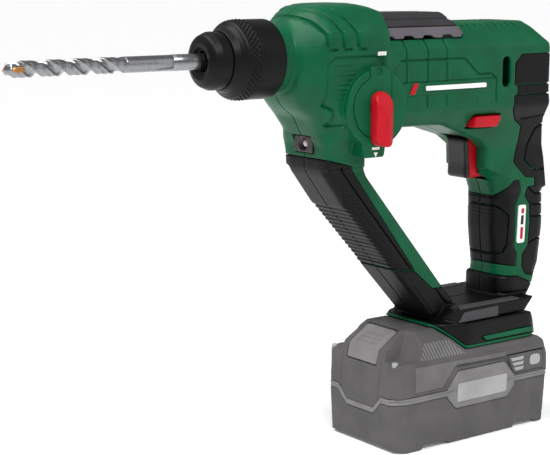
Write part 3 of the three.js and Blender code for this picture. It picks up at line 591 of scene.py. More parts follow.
def vent_field(space):
    """The tall slot on each side and the grille on the top."""
    x, y, z = space.axes
    tall = [(18.6, 243.5, 3.6), (26.4, 243.5, 3.6), (26.4, 264.5, 3.6), (18.6, 264.5, 3.6)]
    slots = both(polygon(tall, x, z), 27 - np.abs(y))
    for k in range(9):
        left = -14 + 6.2 * k
        slot = polygon([(left, -13), (left + 3.4, -13), (left + 7.4, 13), (left + 4, 13)], x, y)
        slots = np.minimum(slots, both(slot, 283.5 - z))
        slash = [(left + 1, 15.5), (left + 3.6, 15.5), (left + 6.6, 22.5), (left + 4, 22.5)]
        slots = np.minimum(slots, both(polygon(slash, x, np.abs(y)), 281.5 - z))
    return slots


def tool_cutouts(space):
    """The openings of the tool: battery slot, chuck bore, trigger, switch and lamp window."""
    x, y, z = space.axes
    wide = np.abs(y)
    slot = BATTERY_SLOT
    throat = overlap(wide - slot["half"], z - slot["roof"], x - slot["rear"])
    rails = overlap(wide - slot["groove"], x - slot["rear"], slot["low"] - z, z - slot["high"])
    cut = np.minimum(throat, rails)
    around = np.sqrt(y * y + (z - DRILL_Z) ** 2)
    cut = np.minimum(cut, np.maximum(around - 18.6, x + 140))
    trigger = overlap(wide - 11.6, np.abs(z - 193) - 16.5, np.abs(x - 12) - 24)
    cut = np.minimum(cut, trigger)
    switch = polygon([(-8.6, 216.1), (16.2, 215.5), (21.2, 225.6), (-5.4, 225.8)], x, z)
    cut = np.minimum(cut, switch + np.zeros_like(y))
    window = overlap(wide - 10, np.abs(z - LAMP_Z) - 5.75, np.abs(x + 129) - 11)
    return np.minimum(cut, window)


def selector_radius(x, z):
    """Distance from the selector's axis."""
    return np.sqrt((x - SELECTOR[0]) ** 2 + (z - SELECTOR[1]) ** 2)


def selector_boss(space):
    """The round boss under the selector, with its tab, on the left side only."""
    x, y, z = space.axes
    around = selector_radius(x, z)
    disc = both(around - 25, np.abs(y + 29.7) - 7.7, 0.8)
    tab = polygon([(-105, 204, 2), (-89, 204, 2), (-87.5, 214), (-107.5, 214)], x, z)
    boss = either(disc, both(tab, np.abs(y + 28.7) - 7.7, 0.8))
    recess = both(polygon(COVER, x, z) - 0.35, y + COVER_SEAT)
    boss = without(boss, recess)
    return np.maximum(boss, 6 - around)


COVER = [
    (-102, 262.5, 2), (-102, 255.2), (-109.5, 250), (-114.5, 243, 6), (-115.1, 233, 6),
    (-111.5, 224, 6), (-104.5, 218.4, 6), (-93.5, 216.6, 6), (-84.5, 220, 4), (-84.5, 258.5),
    (-90.5, 262.5),
]


def pad_relief(space, name):
    """Grooves, steps and ribs of each soft pad, by (x, z)."""
    x, z = space.x, space.z
    lift = space.flat()
    if name == "arm_pad":
        edge = [(-113, 197), (-100, 181), (-73.5, 150), (-50.5, 123)]
        lift -= 1.4 * stroke(edge, x, z, 0.6)
        panel = polygon([(-112, 181), (-104, 180), (-56, 124), (-80, 129.5), (-92, 140)], x, z)
        inside = np.clip(-panel / 0.8, 0, 1)
        lift -= 0.9 * inside
        wave = np.abs(((z + 0.35 * x) / 2.1) % 1 - 0.5) * 2
        lift += 0.8 * inside * wave
    if name == "foot_cover":
        lower = [(-52, 117), (-26, 85.5), (-12, 83), (53, 83)]
        lift -= 0.7 * stroke(lower, x, z, 0.5)
        lift -= 1.3 * stroke([(-33, 113), (-17, 94.3), (60, 94.6)], x, z, 0.6)
        strip = polygon([(1.7, 71.2), (6.2, 67.9), (51.7, 67.7), (51.7, 72.4)], x, z)
        lift -= 1.2 * np.clip(0.4 - strip / 0.5, 0, 1)
    if name == "front_grip":
        inner = [(22, 163), (35, 157), (43, 150), (42.5, 130), (40, 123.5), (30, 120.5)]
        lift -= 1.5 * stroke(inner, x, z, 0.6)
        inside = polygon([(18, 164), *inner, (18, 120)], x, z)
        fade = np.clip(-inside / 1.5, 0, 1)
        lift += 0.25 * fade * (np.abs((z / 2.6) % 1 - 0.5) * 2)
        for level in (163.4, 121.5):
            lift -= 0.8 * stroke([(20, level), (36, level)], x, z, 0.5)
    if name == "rear_grip":
        bumper = [(69, 216), (61, 212), (57.5, 203), (54.5, 190), (63, 182.5), (76, 181.5)]
        lift -= 1.5 * stroke(bumper, x, z, 0.7)
        for level in (244.6, 237.6):
            lift -= 1.5 * stroke([(33, level), (72, level)], x, z, 0.6)
        lift -= 0.6 * stroke([(42, 244), (42, 238)], x, z, 0.5)
        lift -= 0.8 * stroke([(44, 220), (66, 222)], x, z, 0.4)
        segments = [
            [(61, 169.5), (68, 164), (84, 164)], [(64.5, 157), (70, 156), (86, 156)],
            [(64.5, 148), (70, 147.5), (86, 147.5)], [(62, 128), (70, 131), (86, 131)],
        ]
        for points in segments:
            lift -= 1.4 * stroke(points, x, z, 0.6)
    return lift


def pads_field(space, grow=0.0):
    """The outlines of all the soft pads together."""
    return union(*(polygon(corners, space.x, space.z) - grow for corners in PADS.values()))


TOOL_LOW, TOOL_HIGH = (-163, -39.5, 62), (86, 39.5, 306)


def build_shell(side, voxel):
    """One green half of the housing, hollow, with its pads' seats lowered."""
    name = "shell_left" if side < 0 else "shell_right"
    low, high = list(TOOL_LOW), list(TOOL_HIGH)
    if side < 0:
        high[1] = 0.0
    else:
        low[1] = 0.0
    space = Space(low, high, voxel)
    body = body_field(space)
    wall = body + WALL
    lift = side_relief(space)
    lift = np.where(space.x < RELIEF_SPLIT, lift, motor_relief(space))
    flat = np.clip((np.abs(space.y) - 20) / 4, 0, 1)
    lift = lift * np.maximum(flat, np.clip((space.z - 272) / 3, 0, 1))
    field = body - lift.astype(np.float32)
    if side < 0:
        field = either(field, selector_boss(space), 0.6)
        seat = both(polygon(COVER, space.x, space.z) - 0.35, space.y + COVER_SEAT)
        field = without(field, seat)
    seats = both(pads_field(space, SEAM), -(body + SEAT_DEPTH))
    field = without(field, seats, 0.45)
    field = np.maximum(field, -np.minimum(wall, tool_cutouts(space)))
    field = np.maximum(field, -vent_field(space))
    field = np.maximum(field, -bumper_field(space, 0.35))
    half = 0.05 - np.abs(space.y)
    field = both(field, np.where(side * space.y > 0, half, np.abs(space.y) + 0.05), 0.05)
    return space.mesh(name, field)


def bumper_field(space, grow=0.0):
    """The grey cap on top of the motor housing."""
    side = [
        (-82.5, 278), (-16, 278), (-13.5, 281), (-16, 289, 2), (-20.5, 294.9, 3),
        (-60, 295.4, 4), (-82.5, 295.6),
    ]
    section = mirrored([(31, 276), (29.5, 279), (25, 285.5), (18, 290.2), (12, 295.6, 3)], 0)
    field = both(polygon(side, space.x, space.z), polygon(section, space.y, space.z), 0.8)
    return field - grow


def build_pad(name, voxel):
    corners = PADS[name]
    across, heights = zip(*rounded(corners))
    low = [max(min(across) - 2, TOOL_LOW[0]), TOOL_LOW[1], min(heights) - 2]
    high = [min(max(across) + 2, TOOL_HIGH[0]), TOOL_HIGH[1], max(heights) + 2]
    space = Space(low, high, voxel)
    body = body_field(space)
    lift = pad_relief(space, name)
    if name == "foot_cover":
        lift = lift * np.clip((np.abs(space.y) - 15) / 3, 0, 1)
    seam = 0.5 * step_down(np.abs(space.y), 0.35)
    field = both(body - lift + seam, polygon(corners, space.x, space.z), 0.6)
    field = np.maximum(field, -(body + PAD_THICK))
    field = np.maximum(field, -tool_cutouts(space))
    piece = space.mesh(name, field)
    nodes = [f"{name}_left", f"{name}_right"]
    return finish_piece(piece, BLACK, "frame", *nodes)


FINE = 0.42
for side, name in SIDES:
    shell = build_shell(side, FINE)
    finish_piece(shell, GREEN, "frame", f"housing_{name}")
for name in PADS:
    build_pad(name, FINE)


def build_bumper():
    """The cap in two parts: a skirt with a wavy lower edge, and a crown in the same grey painted
    darker as painted shade.
    """
    space = Space((-85, -33, 274), (-8, 33, 299), 0.4)
    field = bumper_field(space)
    x, z = space.x, space.z
    wave = 279.4 + 0.9 * np.clip(2.4 * np.sin((x + 84) * 2 * math.pi / 17), -1, 1)
    field = both(field, np.where(np.abs(space.y) > 20, wave - z, -9), 0.4)
    field = np.maximum(field, -(body_field(space) + 2.4))
    for level in (285.6, 290.4):
        field = field + 0.7 * step_down(np.abs(z - level), 0.5)
    skirt, crown = np.maximum(field, z - 285.6), np.maximum(field, 285.6 - z)
    space.piece("top_cap_skirt", skirt, INLAY, "frame")
    cap = space.mesh("top_cap", crown)
    # The crown's darker grey is painted shade.
    finish_piece(cap, INLAY_PAINTED_SHADE, "frame", "top_bumper")


build_bumper()

# ---------------- controls


def build_selector():
    """The selector's cover plate and its knob, with a ridge and a round stem."""
    space = Space((-117, -39, 214), (-82, -34, 265), 0.3)
    x, y, z = space.axes
    around = selector_radius(x, z)
    cover = both(polygon(COVER, x, z), np.abs(y + 36.55) - 1.05, 0.5)
    well = np.sqrt((x + 95) ** 2 + (z - 259) ** 2) - 2.6
    cover = without(cover, np.maximum(well, y + 36.6))
    cover = np.maximum(cover, 6.6 - around)
    space.piece("selector_plate", cover, GREEN, "frame", "selector_cover")

    space = Space((-103, -50.5, 210), (-88, -22, 249), 0.33)
    x, y, z = space.axes
    blade = polygon(
        [(-102.2, 211.6, 6.5), (-88.8, 211.6, 6.5), (-88.8, 246.6, 6.5), (-102.2, 246.6, 6.5)], x, z
    )
    top = np.maximum(-48.5 - y, (z - 232) * 0.42 - (y + 48.5) * 0.91)
    crown = (np.abs(x - SELECTOR[0]) - 2.2) * 0.62 - (y + 48.5) * 0.78
    knob = both(both(blade, top, 1.6), crown, 1.0)
    knob = both(knob, y + 37.95)
    around = selector_radius(x, z)
    stem = np.maximum(around - 5.8, np.abs(y + 31) - 9)
    knob = np.minimum(knob, stem)
    space.piece("selector_lever", knob, RED, "selector", "selector_knob")


def build_trigger():
    """The trigger, split into a black front and a red back, and the direction bar."""
    space = Space((3, -12, 176), (30, 12, 210), 0.33)
    x, y, z = space.axes
    side = [
        (9.2, 188, 10), (8.8, 178.5, 2.5), (27, 178.5), (27, 207.5), (7.4, 207.5, 3),
        (8.4, 198, 12),
    ]
    whole = both(polygon(side, x, z), np.abs(y) - 10.6, 3.2)
    front = both(whole, x - 11.2 + 0.08 * (z - 193), 0.5)
    back = both(whole, 11.5 - 0.08 * (z - 193) - x, 0.5)
    back = np.maximum(back, -np.maximum(np.abs(y) - 7.5, 18 - x))
    space.piece("trigger_front", front, BLACK_HARD, "trigger_group", "trigger")
    space.piece("trigger_back", back, RED, "trigger_group", "trigger_trim")

    space = Space((-10, -39, 213), (24, 39, 228), 0.4)
    x, y, z = space.axes
    button = [(-7.4, 217.2, 1.5), (15.2, 216.6, 1.5), (19.6, 224.4, 1.5), (-4.2, 224.6, 3)]
    bar = both(polygon(button, x, z), np.abs(y) - 33.8, 1.4)
    space.piece("direction_bar", bar, RED, "direction", "direction_switch")


build_selector()
build_trigger()

# ---------------- small pieces on the housing


def plate(name, corners, y0, y1, bevel, material, body, *nodes, slot=None):
    """A flat moulding or label with an outline in (x, z) and rounded edges."""
    mesh = bmesh.new()
    ring = [mesh.verts.new((a * MM, y0 * MM, b * MM)) for a, b in rounded(corners)]
    face = mesh.faces.new(ring)
    lifted = bmesh.ops.extrude_face_region(mesh, geom=[face])
    moved = [v for v in lifted["geom"] if isinstance(v, bmesh.types.BMVert)]
    bmesh.ops.translate(mesh, verts=moved, vec=(0, (y1 - y0) * MM, 0))
    bmesh.ops.recalc_face_normals(mesh, faces=mesh.faces)
    if bevel:
        edges = [e for e in mesh.edges if all(v in moved or v in ring for v in e.verts)]
        edges = [e for e in edges if abs(e.verts[0].co.y - e.verts[1].co.y) < 1e-7]
        bmesh.ops.bevel(
            mesh, geom=edges, offset=bevel * MM, segments=3, affect="EDGES", profile=0.6
        )
    data = bpy.data.meshes.new(name)
    mesh.to_mesh(data)
    mesh.free()
    piece = bpy.data.objects.new(name, data)
    bpy.context.scene.collection.objects.link(piece)
    return finish_piece(piece, material, body, *nodes, slot=slot)


def build_marks():
    """Plain shapes where the real object has lettering, all on the left side."""
    for k in range(3):
        left = -94.2 + 2.3 * k
        dash = [(left, 269), (left + 1.3, 269), (left + 1.7, 271.4), (left + 0.4, 271.4)]
        plate(f"mode_mark_{k}", dash, -36.1, -34.6, 0, WHITE, "frame")
    hammer = [(-99.5, 209.2), (-93.5, 209.2), (-93.5, 210.8), (-99.5, 210.8)]
    plate("mode_mark_hammer", hammer, -36.95, -36, 0, WHITE, "frame")
    tick = [(-96.5, 204.6), (-94.9, 207.4), (-98.1, 207.4)]
    plate("mode_mark_tick", tick, -36.95, -36, 0, WHITE, "frame")
    stripe = [(-52, 244.6, 0.9), (2.5, 244.6, 0.9), (2.5, 247.6, 0.9), (-52, 247.6, 0.9)]
    plate("side_stripe", stripe, -34.75, -34, 0, WHITE, "frame")
    slash = [(-66, 242.6), (-62, 242.6), (-58.6, 249.6), (-62.6, 249.6)]
    plate("side_accent", slash, -34.75, -34, 0, RED, "frame")
    badge = [(50.8, 129.6, 1.6), (58.2, 129.6, 1.6), (59.2, 157, 1.6), (51.8, 157, 1.6)]
    plate("grip_badge", badge, -20.5, -17.5, 0.35, WHITE, "frame", "handle_badge")
    for k, (low, high) in enumerate(((132.5, 141), (143, 149.5), (151, 154.5))):
        shift = (low - 129.6) / 27.4
        bar = [
            (53.4 + shift, low), (55.9 + shift, low), (56.3 + shift, high), (53.8 + shift, high),
        ]
        plate(f"badge_bar_{k}", bar, -20.75, -20.3, 0, (RED, BLACK_HARD)[k % 2], "frame")
    strip = [(3, 71.4), (6.6, 68.4), (51, 68.2), (51, 71.9)]
    plate("foot_strip", strip, -37.2, -35.4, 0.3, GREEN, "frame")
    deck = [(-17, 83.4), (20, 83.4), (20, 90.6), (-12.5, 90)]
    plate("foot_patch", deck, -34.3, -32.5, 0.25, PANEL, "frame")


def build_deck_strips():
    """The lighter textured edge on the foot's deck."""
    for side, name in SIDES:
        low, high = sorted((side * 22, side * 34))
        space = Space((-22, low, 91), (46, high, 95.5), 0.35)
        wide = np.abs(space.y)
        outline = polygon([(-16, 32.9), (-11, 25.6), (42, 25.6), (42, 32.9)], space.x, wide)
        comb = 0.18 * np.clip(np.abs((space.x / 1.6) % 1 - 0.5) * 4 - 1, -1, 1)
        strip = both(outline, np.abs(space.z - 92.4) - 0.85 + comb, 0.3)
        space.piece(f"deck_strip_{name}", strip, PANEL, "frame")


build_marks()
build_deck_strips()

# ---------------- turned pieces


def ring_object(name, points, closed):
    """A mesh over rings of points; closed joins the last ring to the first."""
    rows, count = points.shape[:2]
    spans = rows if closed else rows - 1
    row, step = np.meshgrid(np.arange(spans), np.arange(count), indexing="ij")
    after, beside = (row + 1) % rows, (step + 1) % count
    quads = np.stack(
        [row * count + step, row * count + beside, after * count + beside, after * count + step], -1
    )
    no_triangles = np.zeros((0, 3), int)
    return mesh_object(name, points.reshape(-1, 3) * MM, no_triangles, quads.reshape(-1, 4))


def turn_outwards(piece, weld=False):
    """Faces turned outwards; weld also joins doubled points and fills open ends."""
    mesh = bmesh.new()
    mesh.from_mesh(piece.data)
    if weld:
        bmesh.ops.remove_doubles(mesh, verts=mesh.verts, dist=1e-7)
        bmesh.ops.holes_fill(mesh, edges=[e for e in mesh.edges if e.is_boundary], sides=200)
    bmesh.ops.recalc_face_normals(mesh, faces=mesh.faces)
    mesh.to_mesh(piece.data)
    mesh.free()


def turned(name, profile, count, relief, body, node):
    """A closed rubber profile of (x, radius) turned about the drill axis.

    relief(x, angle, radius) gives how far the surface stands proud.
    """
    angles = np.linspace(0, 2 * math.pi, count, endpoint=False)
    rings = np.array(profile, float)
    x = np.repeat(rings[:, :1], count, 1)
    radius = np.repeat(rings[:, 1:2], count, 1)
    turn = np.broadcast_to(angles, x.shape)
    radius = radius + relief(x, turn, radius)
    points = np.stack([x, radius * np.cos(turn), DRILL_Z + radius * np.sin(turn)], -1)
    piece = ring_object(name, points, closed=True)
    turn_outwards(piece)
    return finish_piece(piece, BLACK, body, node)


def dense(profile, step=0.45):
    """The corners of a profile rounded, with points added along its straight runs."""
    points = rounded(profile, math.radians(12))
    out = []
    for a, b in zip(points, points[1:] + points[:1]):
        count = max(1, int(math.dist(a, b) / step))
        for k in range(count):
            t = k / count
            out.append((a[0] + (b[0] - a[0]) * t, a[1] + (b[1] - a[1]) * t))
    return out


def knurl(x, angle, radius):
    """Rows of small raised diamonds in a sunk band round the sleeve, and two fine rings."""
    rows = (x + 184.4) / 1.75
    row = np.floor(rows)
    along = (rows - row - 0.5) * 2
    around = (angle * 46 / (2 * math.pi) + 0.5 * (row % 2)) % 1
    around = (around - 0.5) * 2
    stud = np.clip((0.9 - np.abs(along) - np.abs(around)) * 3, 0, 1)
    band = (rows > 0) & (rows < 4) & (radius > 22)
    fine = np.where(radius > 22, 0.85 * stud * band - 0.35 * band, 0.0)
    rear_ring = np.clip(1 - np.abs(x + 175.6) / 0.5, 0, 1)
    ring = rear_ring + np.clip(1 - np.abs(x + 187.3) / 0.5, 0, 1)
    return fine - 0.35 * ring * (radius > 20)


def groove(x, angle, radius):
    """A fine line round the dust cap."""
    return -0.3 * np.clip(1 - np.abs(x + 199.5) / 0.5, 0, 1) * (radius > 15)


def build_chuck():
    sleeve = [
        (-193, 16.4), (-193, 18.4, 0.8), (-189, 20.2, 2), (-185.6, 24.2, 3), (-177, 25, 4),
        (-159.2, 25, 1.2), (-157.5, 23.6, 0.8), (-157.5, 22.5), (-167, 22.5), (-167, 16.4),
    ]
    turned("chuck_grip", dense(sleeve), 368, knurl, "chuck", "chuck_sleeve")
    cap = [
        (-206.4, 8.4, 0.4), (-206.9, 11.6, 1.8), (-205, 16, 2.6), (-200, 18.1, 3),
        (-193.4, 17.7, 0.6), (-193.4, 11.6), (-201.4, 11.4), (-203.2, 6.5), (-204.6, 6.5, 0.4),
        (-204.6, 8.4, 0.4),
    ]
    turned("chuck_cap", dense(cap), 128, groove, "spindle", "dust_cap")


build_chuck()


def build_bit():
    """Spiral flutes, a plain neck and the thicker shank, as one surface of rings."""
    count = 144
    angles = np.linspace(0, 2 * math.pi, count, endpoint=False)
    rings = []
    front, flute_end, rear = -334.6, -262.0, -166.0
    body_radius, shank_radius, turns = 4.85, 5.0, 2.05
    for x in np.arange(front, flute_end + 3, 0.4):
        twist = 2 * math.pi * turns * (x - front) / (flute_end - front)
        phase = ((angles - twist) % math.pi) / math.pi
        across = np.abs(phase - 0.5) * 2
        depth = 2.1 * np.clip((flute_end + 2.6 - x) / 9, 0, 1) ** 0.7
        valley = np.clip((0.46 - across) / 0.46, 0, 1)
        groove_depth = depth * np.sqrt(np.clip(1 - (1 - valley) ** 2, 0, 1))
        relief = 0.2 * np.clip((0.9 - across) / 0.03, 0, 1) * np.clip((across - 0.5) / 0.03, 0, 1)
        rings.append((x, body_radius - groove_depth - relief * np.clip(depth, 0, 1)))
    plain = [(x, body_radius) for x in (-258.6, -240, -228.4)]
    plain += [(-227.9, 4.55), (-227.2, 4.55)]
    plain += [(x, shank_radius) for x in (-226.8, -210, -190, rear - 1)]
    plain += [(rear, 4.2), (rear, 0.05)]
    rings += [(x, np.full(count, r)) for x, r in plain]
    nose = rings[0][1]
    for x, share in ((-335.4, 0.86), (-336.6, 0.6), (-337.6, 0.3), (-338.2, 0.02)):
        rings.insert(0, (x, nose * share))
    points = np.array(
        [
            np.stack([np.full(count, x), r * np.cos(angles), DRILL_Z + r * np.sin(angles)], -1)
            for x, r in rings
        ]
    )
    piece = ring_object("masonry_bit", points, closed=False)
    turn_outwards(piece, weld=True)
    return finish_piece(piece, STEEL, "bit", "drill_bit")


build_bit()


def build_tip():
    """The carbide cutting plate, with a roof-shaped edge."""
    space = Space((-345, -7, 260), (-326, 7, 275), 0.2)
    x, y, z = space.axes
    wedge = polygon([(-339, 0), (-334.6, -5.5), (-327.5, -5.5), (-327.5, 5.5), (-334.6, 5.5)], x, y)
    thick = np.abs(z - DRILL_Z) - 1.5
    edge = np.abs(z - DRILL_Z) * 0.75 - (x + 338.8 - np.abs(y) * 0.86) * 0.66
    plate_field = both(np.maximum(wedge, edge), thick, 0.2)
    return space.piece("cutting_plate", plate_field, CARBIDE, "bit", "carbide_tip")


build_tip()

# ---------------- lamp


def build_lamp():
    """The lamp in the neck: a square bezel with a round hollow, and a small dome."""
    space = Space((-129, -11, 204), (-122, 11, 219), 0.2)
    x, y, z = space.axes
    face = np.maximum(np.abs(y) - 9.6, np.abs(z - LAMP_Z) - 5.35)
    block = both(face, np.abs(x + 125.4) - 1.6, 0.4)
    around = np.sqrt(y * y + (z - LAMP_Z) ** 2)
    cone = around - (4.6 - (x + 127) * 0.8)
    bezel = without(block, np.maximum(cone, x + 124.4), 0.2)
    space.piece("lamp_bezel", bezel, LENS, "frame", "led_lens")
    dome = np.sqrt((x + 123.9) ** 2 + y * y + (z - LAMP_Z) ** 2) - 2.3
    space.piece("lamp_dome", dome, LENS_CLEAR, "frame")


build_lamp()

# ---------------- battery
PACK_BASE = [
    (-69, 0, 1), (63.5, 0, 2), (66.5, 33, 2), (70.5, 36), (-78.5, 36), (-75, 2, 2),
]
PACK_TOP = [
    (-78.5, 36.3), (70.5, 36.3), (70.5, 41, 2), (68.5, 50, 3), (63, 61, 3), (58, 64.1),
    (-12.2, 64.1), (-33.2, 80.3), (-57, 80.3, 2), (-73.2, 69.6, 2), (-76, 62, 2), (-78.5, 44, 3),
]
PACK_PLAN = mirrored([(-79, -31, 2), (-66, -38, 5), (70.5, -38, 7)], 1)
SHOULDER = mirrored([(38, -5), (38, 61, 2), (33, 74, 2), (24.5, 80.4, 1), (20, 82)], 0)

TOWER_PLAN = mirrored([(-82, -22.8), (-62.5, -24), (-56, -38.5), (75, -39)], 1)


PACK_VOXEL = 0.45
PACK_SPLIT = 36.2  # height where the lower and upper case meet
PACK_WALL = 3.4
BAND_HEIGHT = 4.2
FLANK = 30  # the side's own shapes begin at this half width
COVER_ROWS = PACK_TOP[2:]


def pack_field(space, side, bevel, edge=2.2):
    """A battery case from its side outline; edge rounds its upright corners."""
    field = both(polygon(side, space.x, space.z), polygon(PACK_PLAN, space.x, space.y), edge)
    return both(field, polygon(SHOULDER, space.y, space.z), bevel)


def band_level(space):
    """The height of the light band's underside, and the octagon on the sides that it frames."""
    wide = np.abs(space.y)
    front = np.clip((-72 - space.x) / 3, 0, 1)
    dip = np.clip((23 - wide) / 9, 0, 1) * front
    corners = [
        (-30.4, 38.5), (-30.4, 33), (-22, 24), (27, 24), (34, 31.5), (34, 39.5),
        (24, 50.5), (-20.5, 50.5),
    ]
    return 34.2 - 9.2 * dip, polygon(corners, space.x, space.z)


def build_pack_band():
    """The light band round the battery, with the octagon on each side."""
    space = Space((-81, -40, -2), (73, 40, 52), PACK_VOXEL)
    wide, z = np.abs(space.y), space.z
    base, top = pack_field(space, PACK_BASE, 1.0), pack_field(space, PACK_TOP, 1.0)
    outer = np.where(z < PACK_SPLIT, base, top)
    level, octagon = band_level(space)
    ring = np.maximum(level - z, z - level - BAND_HEIGHT)
    zone = np.minimum(ring, overlap(octagon, FLANK - wide, z - 50.5))
    rim = np.clip(np.abs(octagon + 5.2) / 0.6, 0, 1)
    proud = -0.35 + 0.5 * (1 - rim) * np.clip((wide - 34) / 2, 0, 1)
    band = overlap(outer + proud, zone + 0.15, -(outer + 2.6))
    space.piece("pack_band", band, PACK_LIGHT, "battery")


def build_pack_base():
    """The lower case, with two notches in each lower edge."""
    space = Space((-81, -40, -2), (73, 40, 44), PACK_VOXEL)
    x, z = space.x, space.z
    wide = np.abs(space.y)
    outer = pack_field(space, PACK_BASE, 1.0, 0.8)
    level, octagon = band_level(space)
    zone = np.maximum(z - level, -np.maximum(octagon, FLANK - wide))
    field = both(outer + 0.25, zone + 0.15, 0.5)
    for left, right in ((-56, -30), (31, 55)):
        notch = polygon([(left, -3), (right + 3, -3), (right, 2.2), (left + 5, 3.6)], x, z)
        field = without(field, np.maximum(notch, FLANK - wide), 0.4)
    field = overlap(field, -(outer + 3.0), z - PACK_SPLIT)
    space.piece("pack_base", field, PACK, "battery", "battery_base")


def cover_relief(space):
    """The raised wing and the lines on the upper case's sides, by (x, z)."""
    x, z = space.x, space.z
    lift = space.flat()
    wing = polygon([(-61, 41.5), (-32.5, 41.5), (-21, 54), (-24, 55.8), (-61, 57.8)], x, z)
    lift += 0.5 * np.clip(0.5 - wing / 0.8, 0, 1)
    lift -= 0.5 * stroke([(-62, 60.5), (62, 59)], x, z, 0.5)
    frame_line = [(-33.5, 41.5), (-22, 54.2), (24, 53), (35.5, 41)]
    lift -= 1.4 * stroke(frame_line, x, z, 1.2)
    lift -= 0.5 * stroke([(64.8, 58), (66, 44)], x, z, 0.5)
    return lift


def build_pack_cover():
    """The upper case: shoulders, corner columns, latch hole, gauge opening and rail tower."""
    space = Space((-81, -40, 20), (73, 40, 84), PACK_VOXEL)
    x, y, z = space.axes
    wide = np.abs(y)
    outer = pack_field(space, [(-77.2, 20), (67.5, 20), *COVER_ROWS], 1.2)
    level, octagon = band_level(space)
    field = outer - cover_relief(space) * np.clip((wide - 28) / 3, 0, 1)
    corner = np.sqrt((x + 70.5) ** 2 + (wide - 32.6) ** 2) - 4.4
    corner = both(corner, np.abs(z - 46) - 17, 1.5)
    field = either(field, corner, 1.0)
    field = field + 0.8 * step_down(np.abs(wide - 20), 0.9) * np.clip((-70 - x) / 2, 0, 1)
    window = polygon([(25.6, 54.9), (32.6, 39.6), (63.7, 39.6), (63, 54.9)], x, z)
    gauge_opening = np.maximum(window + 0.4, 33 + y)
    latch_hole = overlap(wide - 15.9, x + 53.9, 58.2 - z)
    above_band = np.maximum(level + BAND_HEIGHT - z, -np.maximum(octagon, FLANK - wide))
    field = overlap(field, -gauge_opening, -latch_hole, above_band + 0.15)
    rail = overlap(x - 49.6, -24 - x, wide - 27.2, np.abs(z - 70.6) - 2.6)
    tower = overlap(x - 49.6, -40 - x, wide - 22.2, np.abs(z - 69.4) - 9.5)
    field = union(field, rail, tower)
    rise = np.clip(z - 62.4, 0, 18)
    beside = np.maximum(-polygon(TOWER_PLAN, x - 0.55 * rise, wide + 0.25 * rise), 62.2 - z)
    field = without(field, beside, 0.8)
    hollow = np.maximum(outer + PACK_WALL, z - 58)
    field = np.maximum(field, -hollow)
    space.piece("pack_cover", field, PACK, "battery", "battery_cover")
    build_pack_ribs(space, outer)


def build_pack_ribs(space, outer):
    """The ribbed fields on the shoulders, which follow the upper case."""
    x, z = space.x, space.z
    shape = polygon([(-55.5, 62.6), (-14, 62.2), (-27.5, 73.4), (-49, 73.4)], x, z)
    comb = np.abs(((x + 0.35 * z) / 2.7) % 1 - 0.5) * 2
    skin = np.maximum(outer - 0.35, -(outer + 1.2))
    ribs = both(skin, np.maximum(shape, (comb - 0.55) * 1.2), 0.2)
    ribs = np.maximum(ribs, 20 - np.abs(space.y))
    for side, name in SIDES:
        piece = space.mesh(f"pack_ribs_{name}", np.maximum(ribs, -side * space.y))
        finish_piece(piece, PACK_LIGHT, "battery")


def build_pack_sides():
    """The flat wing on each side, its grey painted lighter as painted light on the side face, and
    the stud at each front corner.
    """
    wing = [(-60, 41.6), (-35.5, 41.6), (-23.2, 55.4), (23.2, 54.4), (25.4, 57.6), (-60.5, 59)]
    for side, name in SIDES:
        y0, y1 = sorted((side * 38.3, side * 36.9))
        # The wing's lighter grey is painted light.
        plate(f"pack_side_{name}", wing, y0, y1, 0.25, PACK_PAINTED_LIGHT_SIDE, "battery")
    for side, name in SIDES:
        near, far = sorted((side * 29, side * 37))
        space = Space((-78, near, 58), (-67, far, 66), 0.3)
        stud = np.sqrt((space.x + 73.6) ** 2 + (space.y - side * 32.2) ** 2) - 2.2
        stud = both(stud, np.abs(space.z - 62) - 1.8, 1.2)
        space.piece(f"pack_stud_{name}", stud, PACK_LABEL, "battery")


def build_pack_latch():
    """The release button, with three finger grooves and a raised rim."""
    space = Space((-80, -18, 56), (-55, 18, 83), 0.32)
    x, y, z = space.axes
    side = [(-76.6, 58.8, 1), (-58, 58.8), (-57.2, 80.8, 1), (-74, 69.9, 1.2)]
    latch = both(polygon(side, x, z), np.abs(y) - 15.4, 1.2)
    for k in range(3):
        start = -71.5 + 3.4 * k
        level = 70.9 + 2.28 * k
        finger = np.sqrt((x - start) ** 2 + (z - level - 0.4) ** 2)
        latch = latch + 0.9 * step_down(finger, 1.1) * (np.abs(y) < 10)
    edge = line([(-74.6, 69.4), (-57.2, 80.9)], x, z)
    rim = np.clip((np.abs(y) - 12.4) / 0.5, 0, 1) * np.clip(1.6 - edge, 0, 1)
    space.piece("pack_latch", latch + 0.35 * rim, PACK_LIGHT, "release", "battery_button")


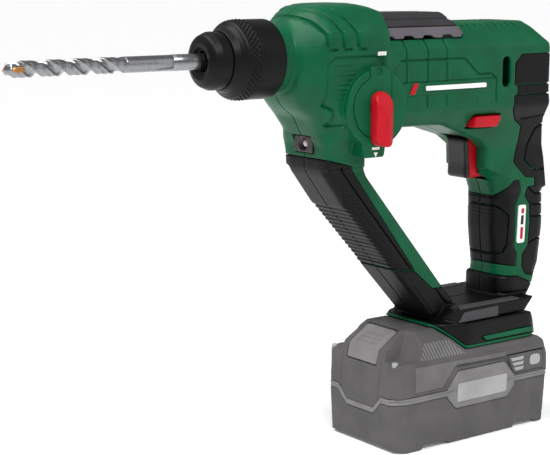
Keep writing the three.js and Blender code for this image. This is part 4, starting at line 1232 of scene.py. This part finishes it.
def build_pack_gauge():
    """The gauge with its bars and key, on the left side, and the label on each side."""
    panel = [(26.7, 53.6, 1), (33.4, 40.4, 1), (62.7, 40.4, 1), (62, 53.6, 1)]
    plate("gauge_window", panel, -37.9, -34, 0.3, PACK, "battery", "gauge_panel")
    light = (PACK_LABEL, "battery")
    bars = [(29.8, 51.6, 13.2), (31.6, 48.0, 11.4), (33.4, 44.4, 9.6)]
    for k, (left, top, length) in enumerate(bars):
        right = left + length
        bar = [(left, top), (left + 1.4, top - 2.3), (right - 1.0, top - 2.3), (right, top)]
        plate(f"gauge_bar_{k}", bar, -38.2, -37, 0, *light)
    key = [(48.6, 43.7, 3), (59.4, 43.7, 3), (59.2, 51.3, 3), (49.4, 51.3, 3)]
    plate(
        "gauge_key", key, -38.4, -36, 0.4, PACK_LABEL, "gauge", "gauge_button",
        slot="white_plastic",
    )
    label = [(-21.5, 28.6, 1.5), (25.8, 28.6, 1.5), (26.6, 41.6, 1.5), (-20.7, 41.6, 1.5)]
    for side, name in SIDES:
        y0, y1 = sorted((side * 38.0, side * 36.4))
        plate(f"pack_label_{name}", label, y0 - 0.35, y1 + 0.35, 0.25, *light)


build_pack_band()
build_pack_base()
build_pack_cover()
build_pack_sides()
build_pack_latch()
build_pack_gauge()

# ---------------- studio


def add_light(name, kind, place, aim, size, power):
    data = bpy.data.lights.new(name, kind)
    data.energy = power
    if kind == "SUN":
        data.angle = size
    else:
        data.shape = "RECTANGLE"
        data.size, data.size_y = size
    lamp = bpy.data.objects.new(name, data)
    lamp.location = place
    lamp.rotation_euler = (Vector(aim) - Vector(place)).to_track_quat("-Z", "Y").to_euler()
    bpy.context.scene.collection.objects.link(lamp)


def studio():
    """A plain pale floor and plain soft light."""
    bpy.ops.mesh.primitive_grid_add(x_subdivisions=4, y_subdivisions=4, size=80)
    floor = bpy.context.object
    floor.name = "floor"
    material, tree, shader = new_material("studio_floor", 0.95)
    shader.inputs["Specular IOR Level"].default_value = 0.1
    speck = grain(tree, 40, 2)
    tint(tree, shader, speck, linear("f7f7f7"), linear("fcfcfc"))
    shader.inputs["Emission Color"].default_value = (1, 1, 1, 1)
    shader.inputs["Emission Strength"].default_value = 0.12
    floor.data.materials.append(material)
    world = bpy.data.worlds.new("studio")
    world.use_nodes = True
    background = world.node_tree.nodes["Background"]
    background.inputs["Color"].default_value = (1, 1, 1, 1)
    background.inputs["Strength"].default_value = 0.34
    bpy.context.scene.world = world
    target = (-0.07, 0, 0.2)
    add_light("key", "SUN", (-0.5, -1.0, 1.5), target, math.radians(25), 2.15)
    add_light("side", "SUN", (1.2, -0.9, 0.8), target, math.radians(50), 0.45)
    add_light("top_box", "AREA", (-0.55, 0.15, 1.0), target, (0.9, 0.5), 9.0)
    bpy.context.scene.view_settings.view_transform = "Standard"


studio()
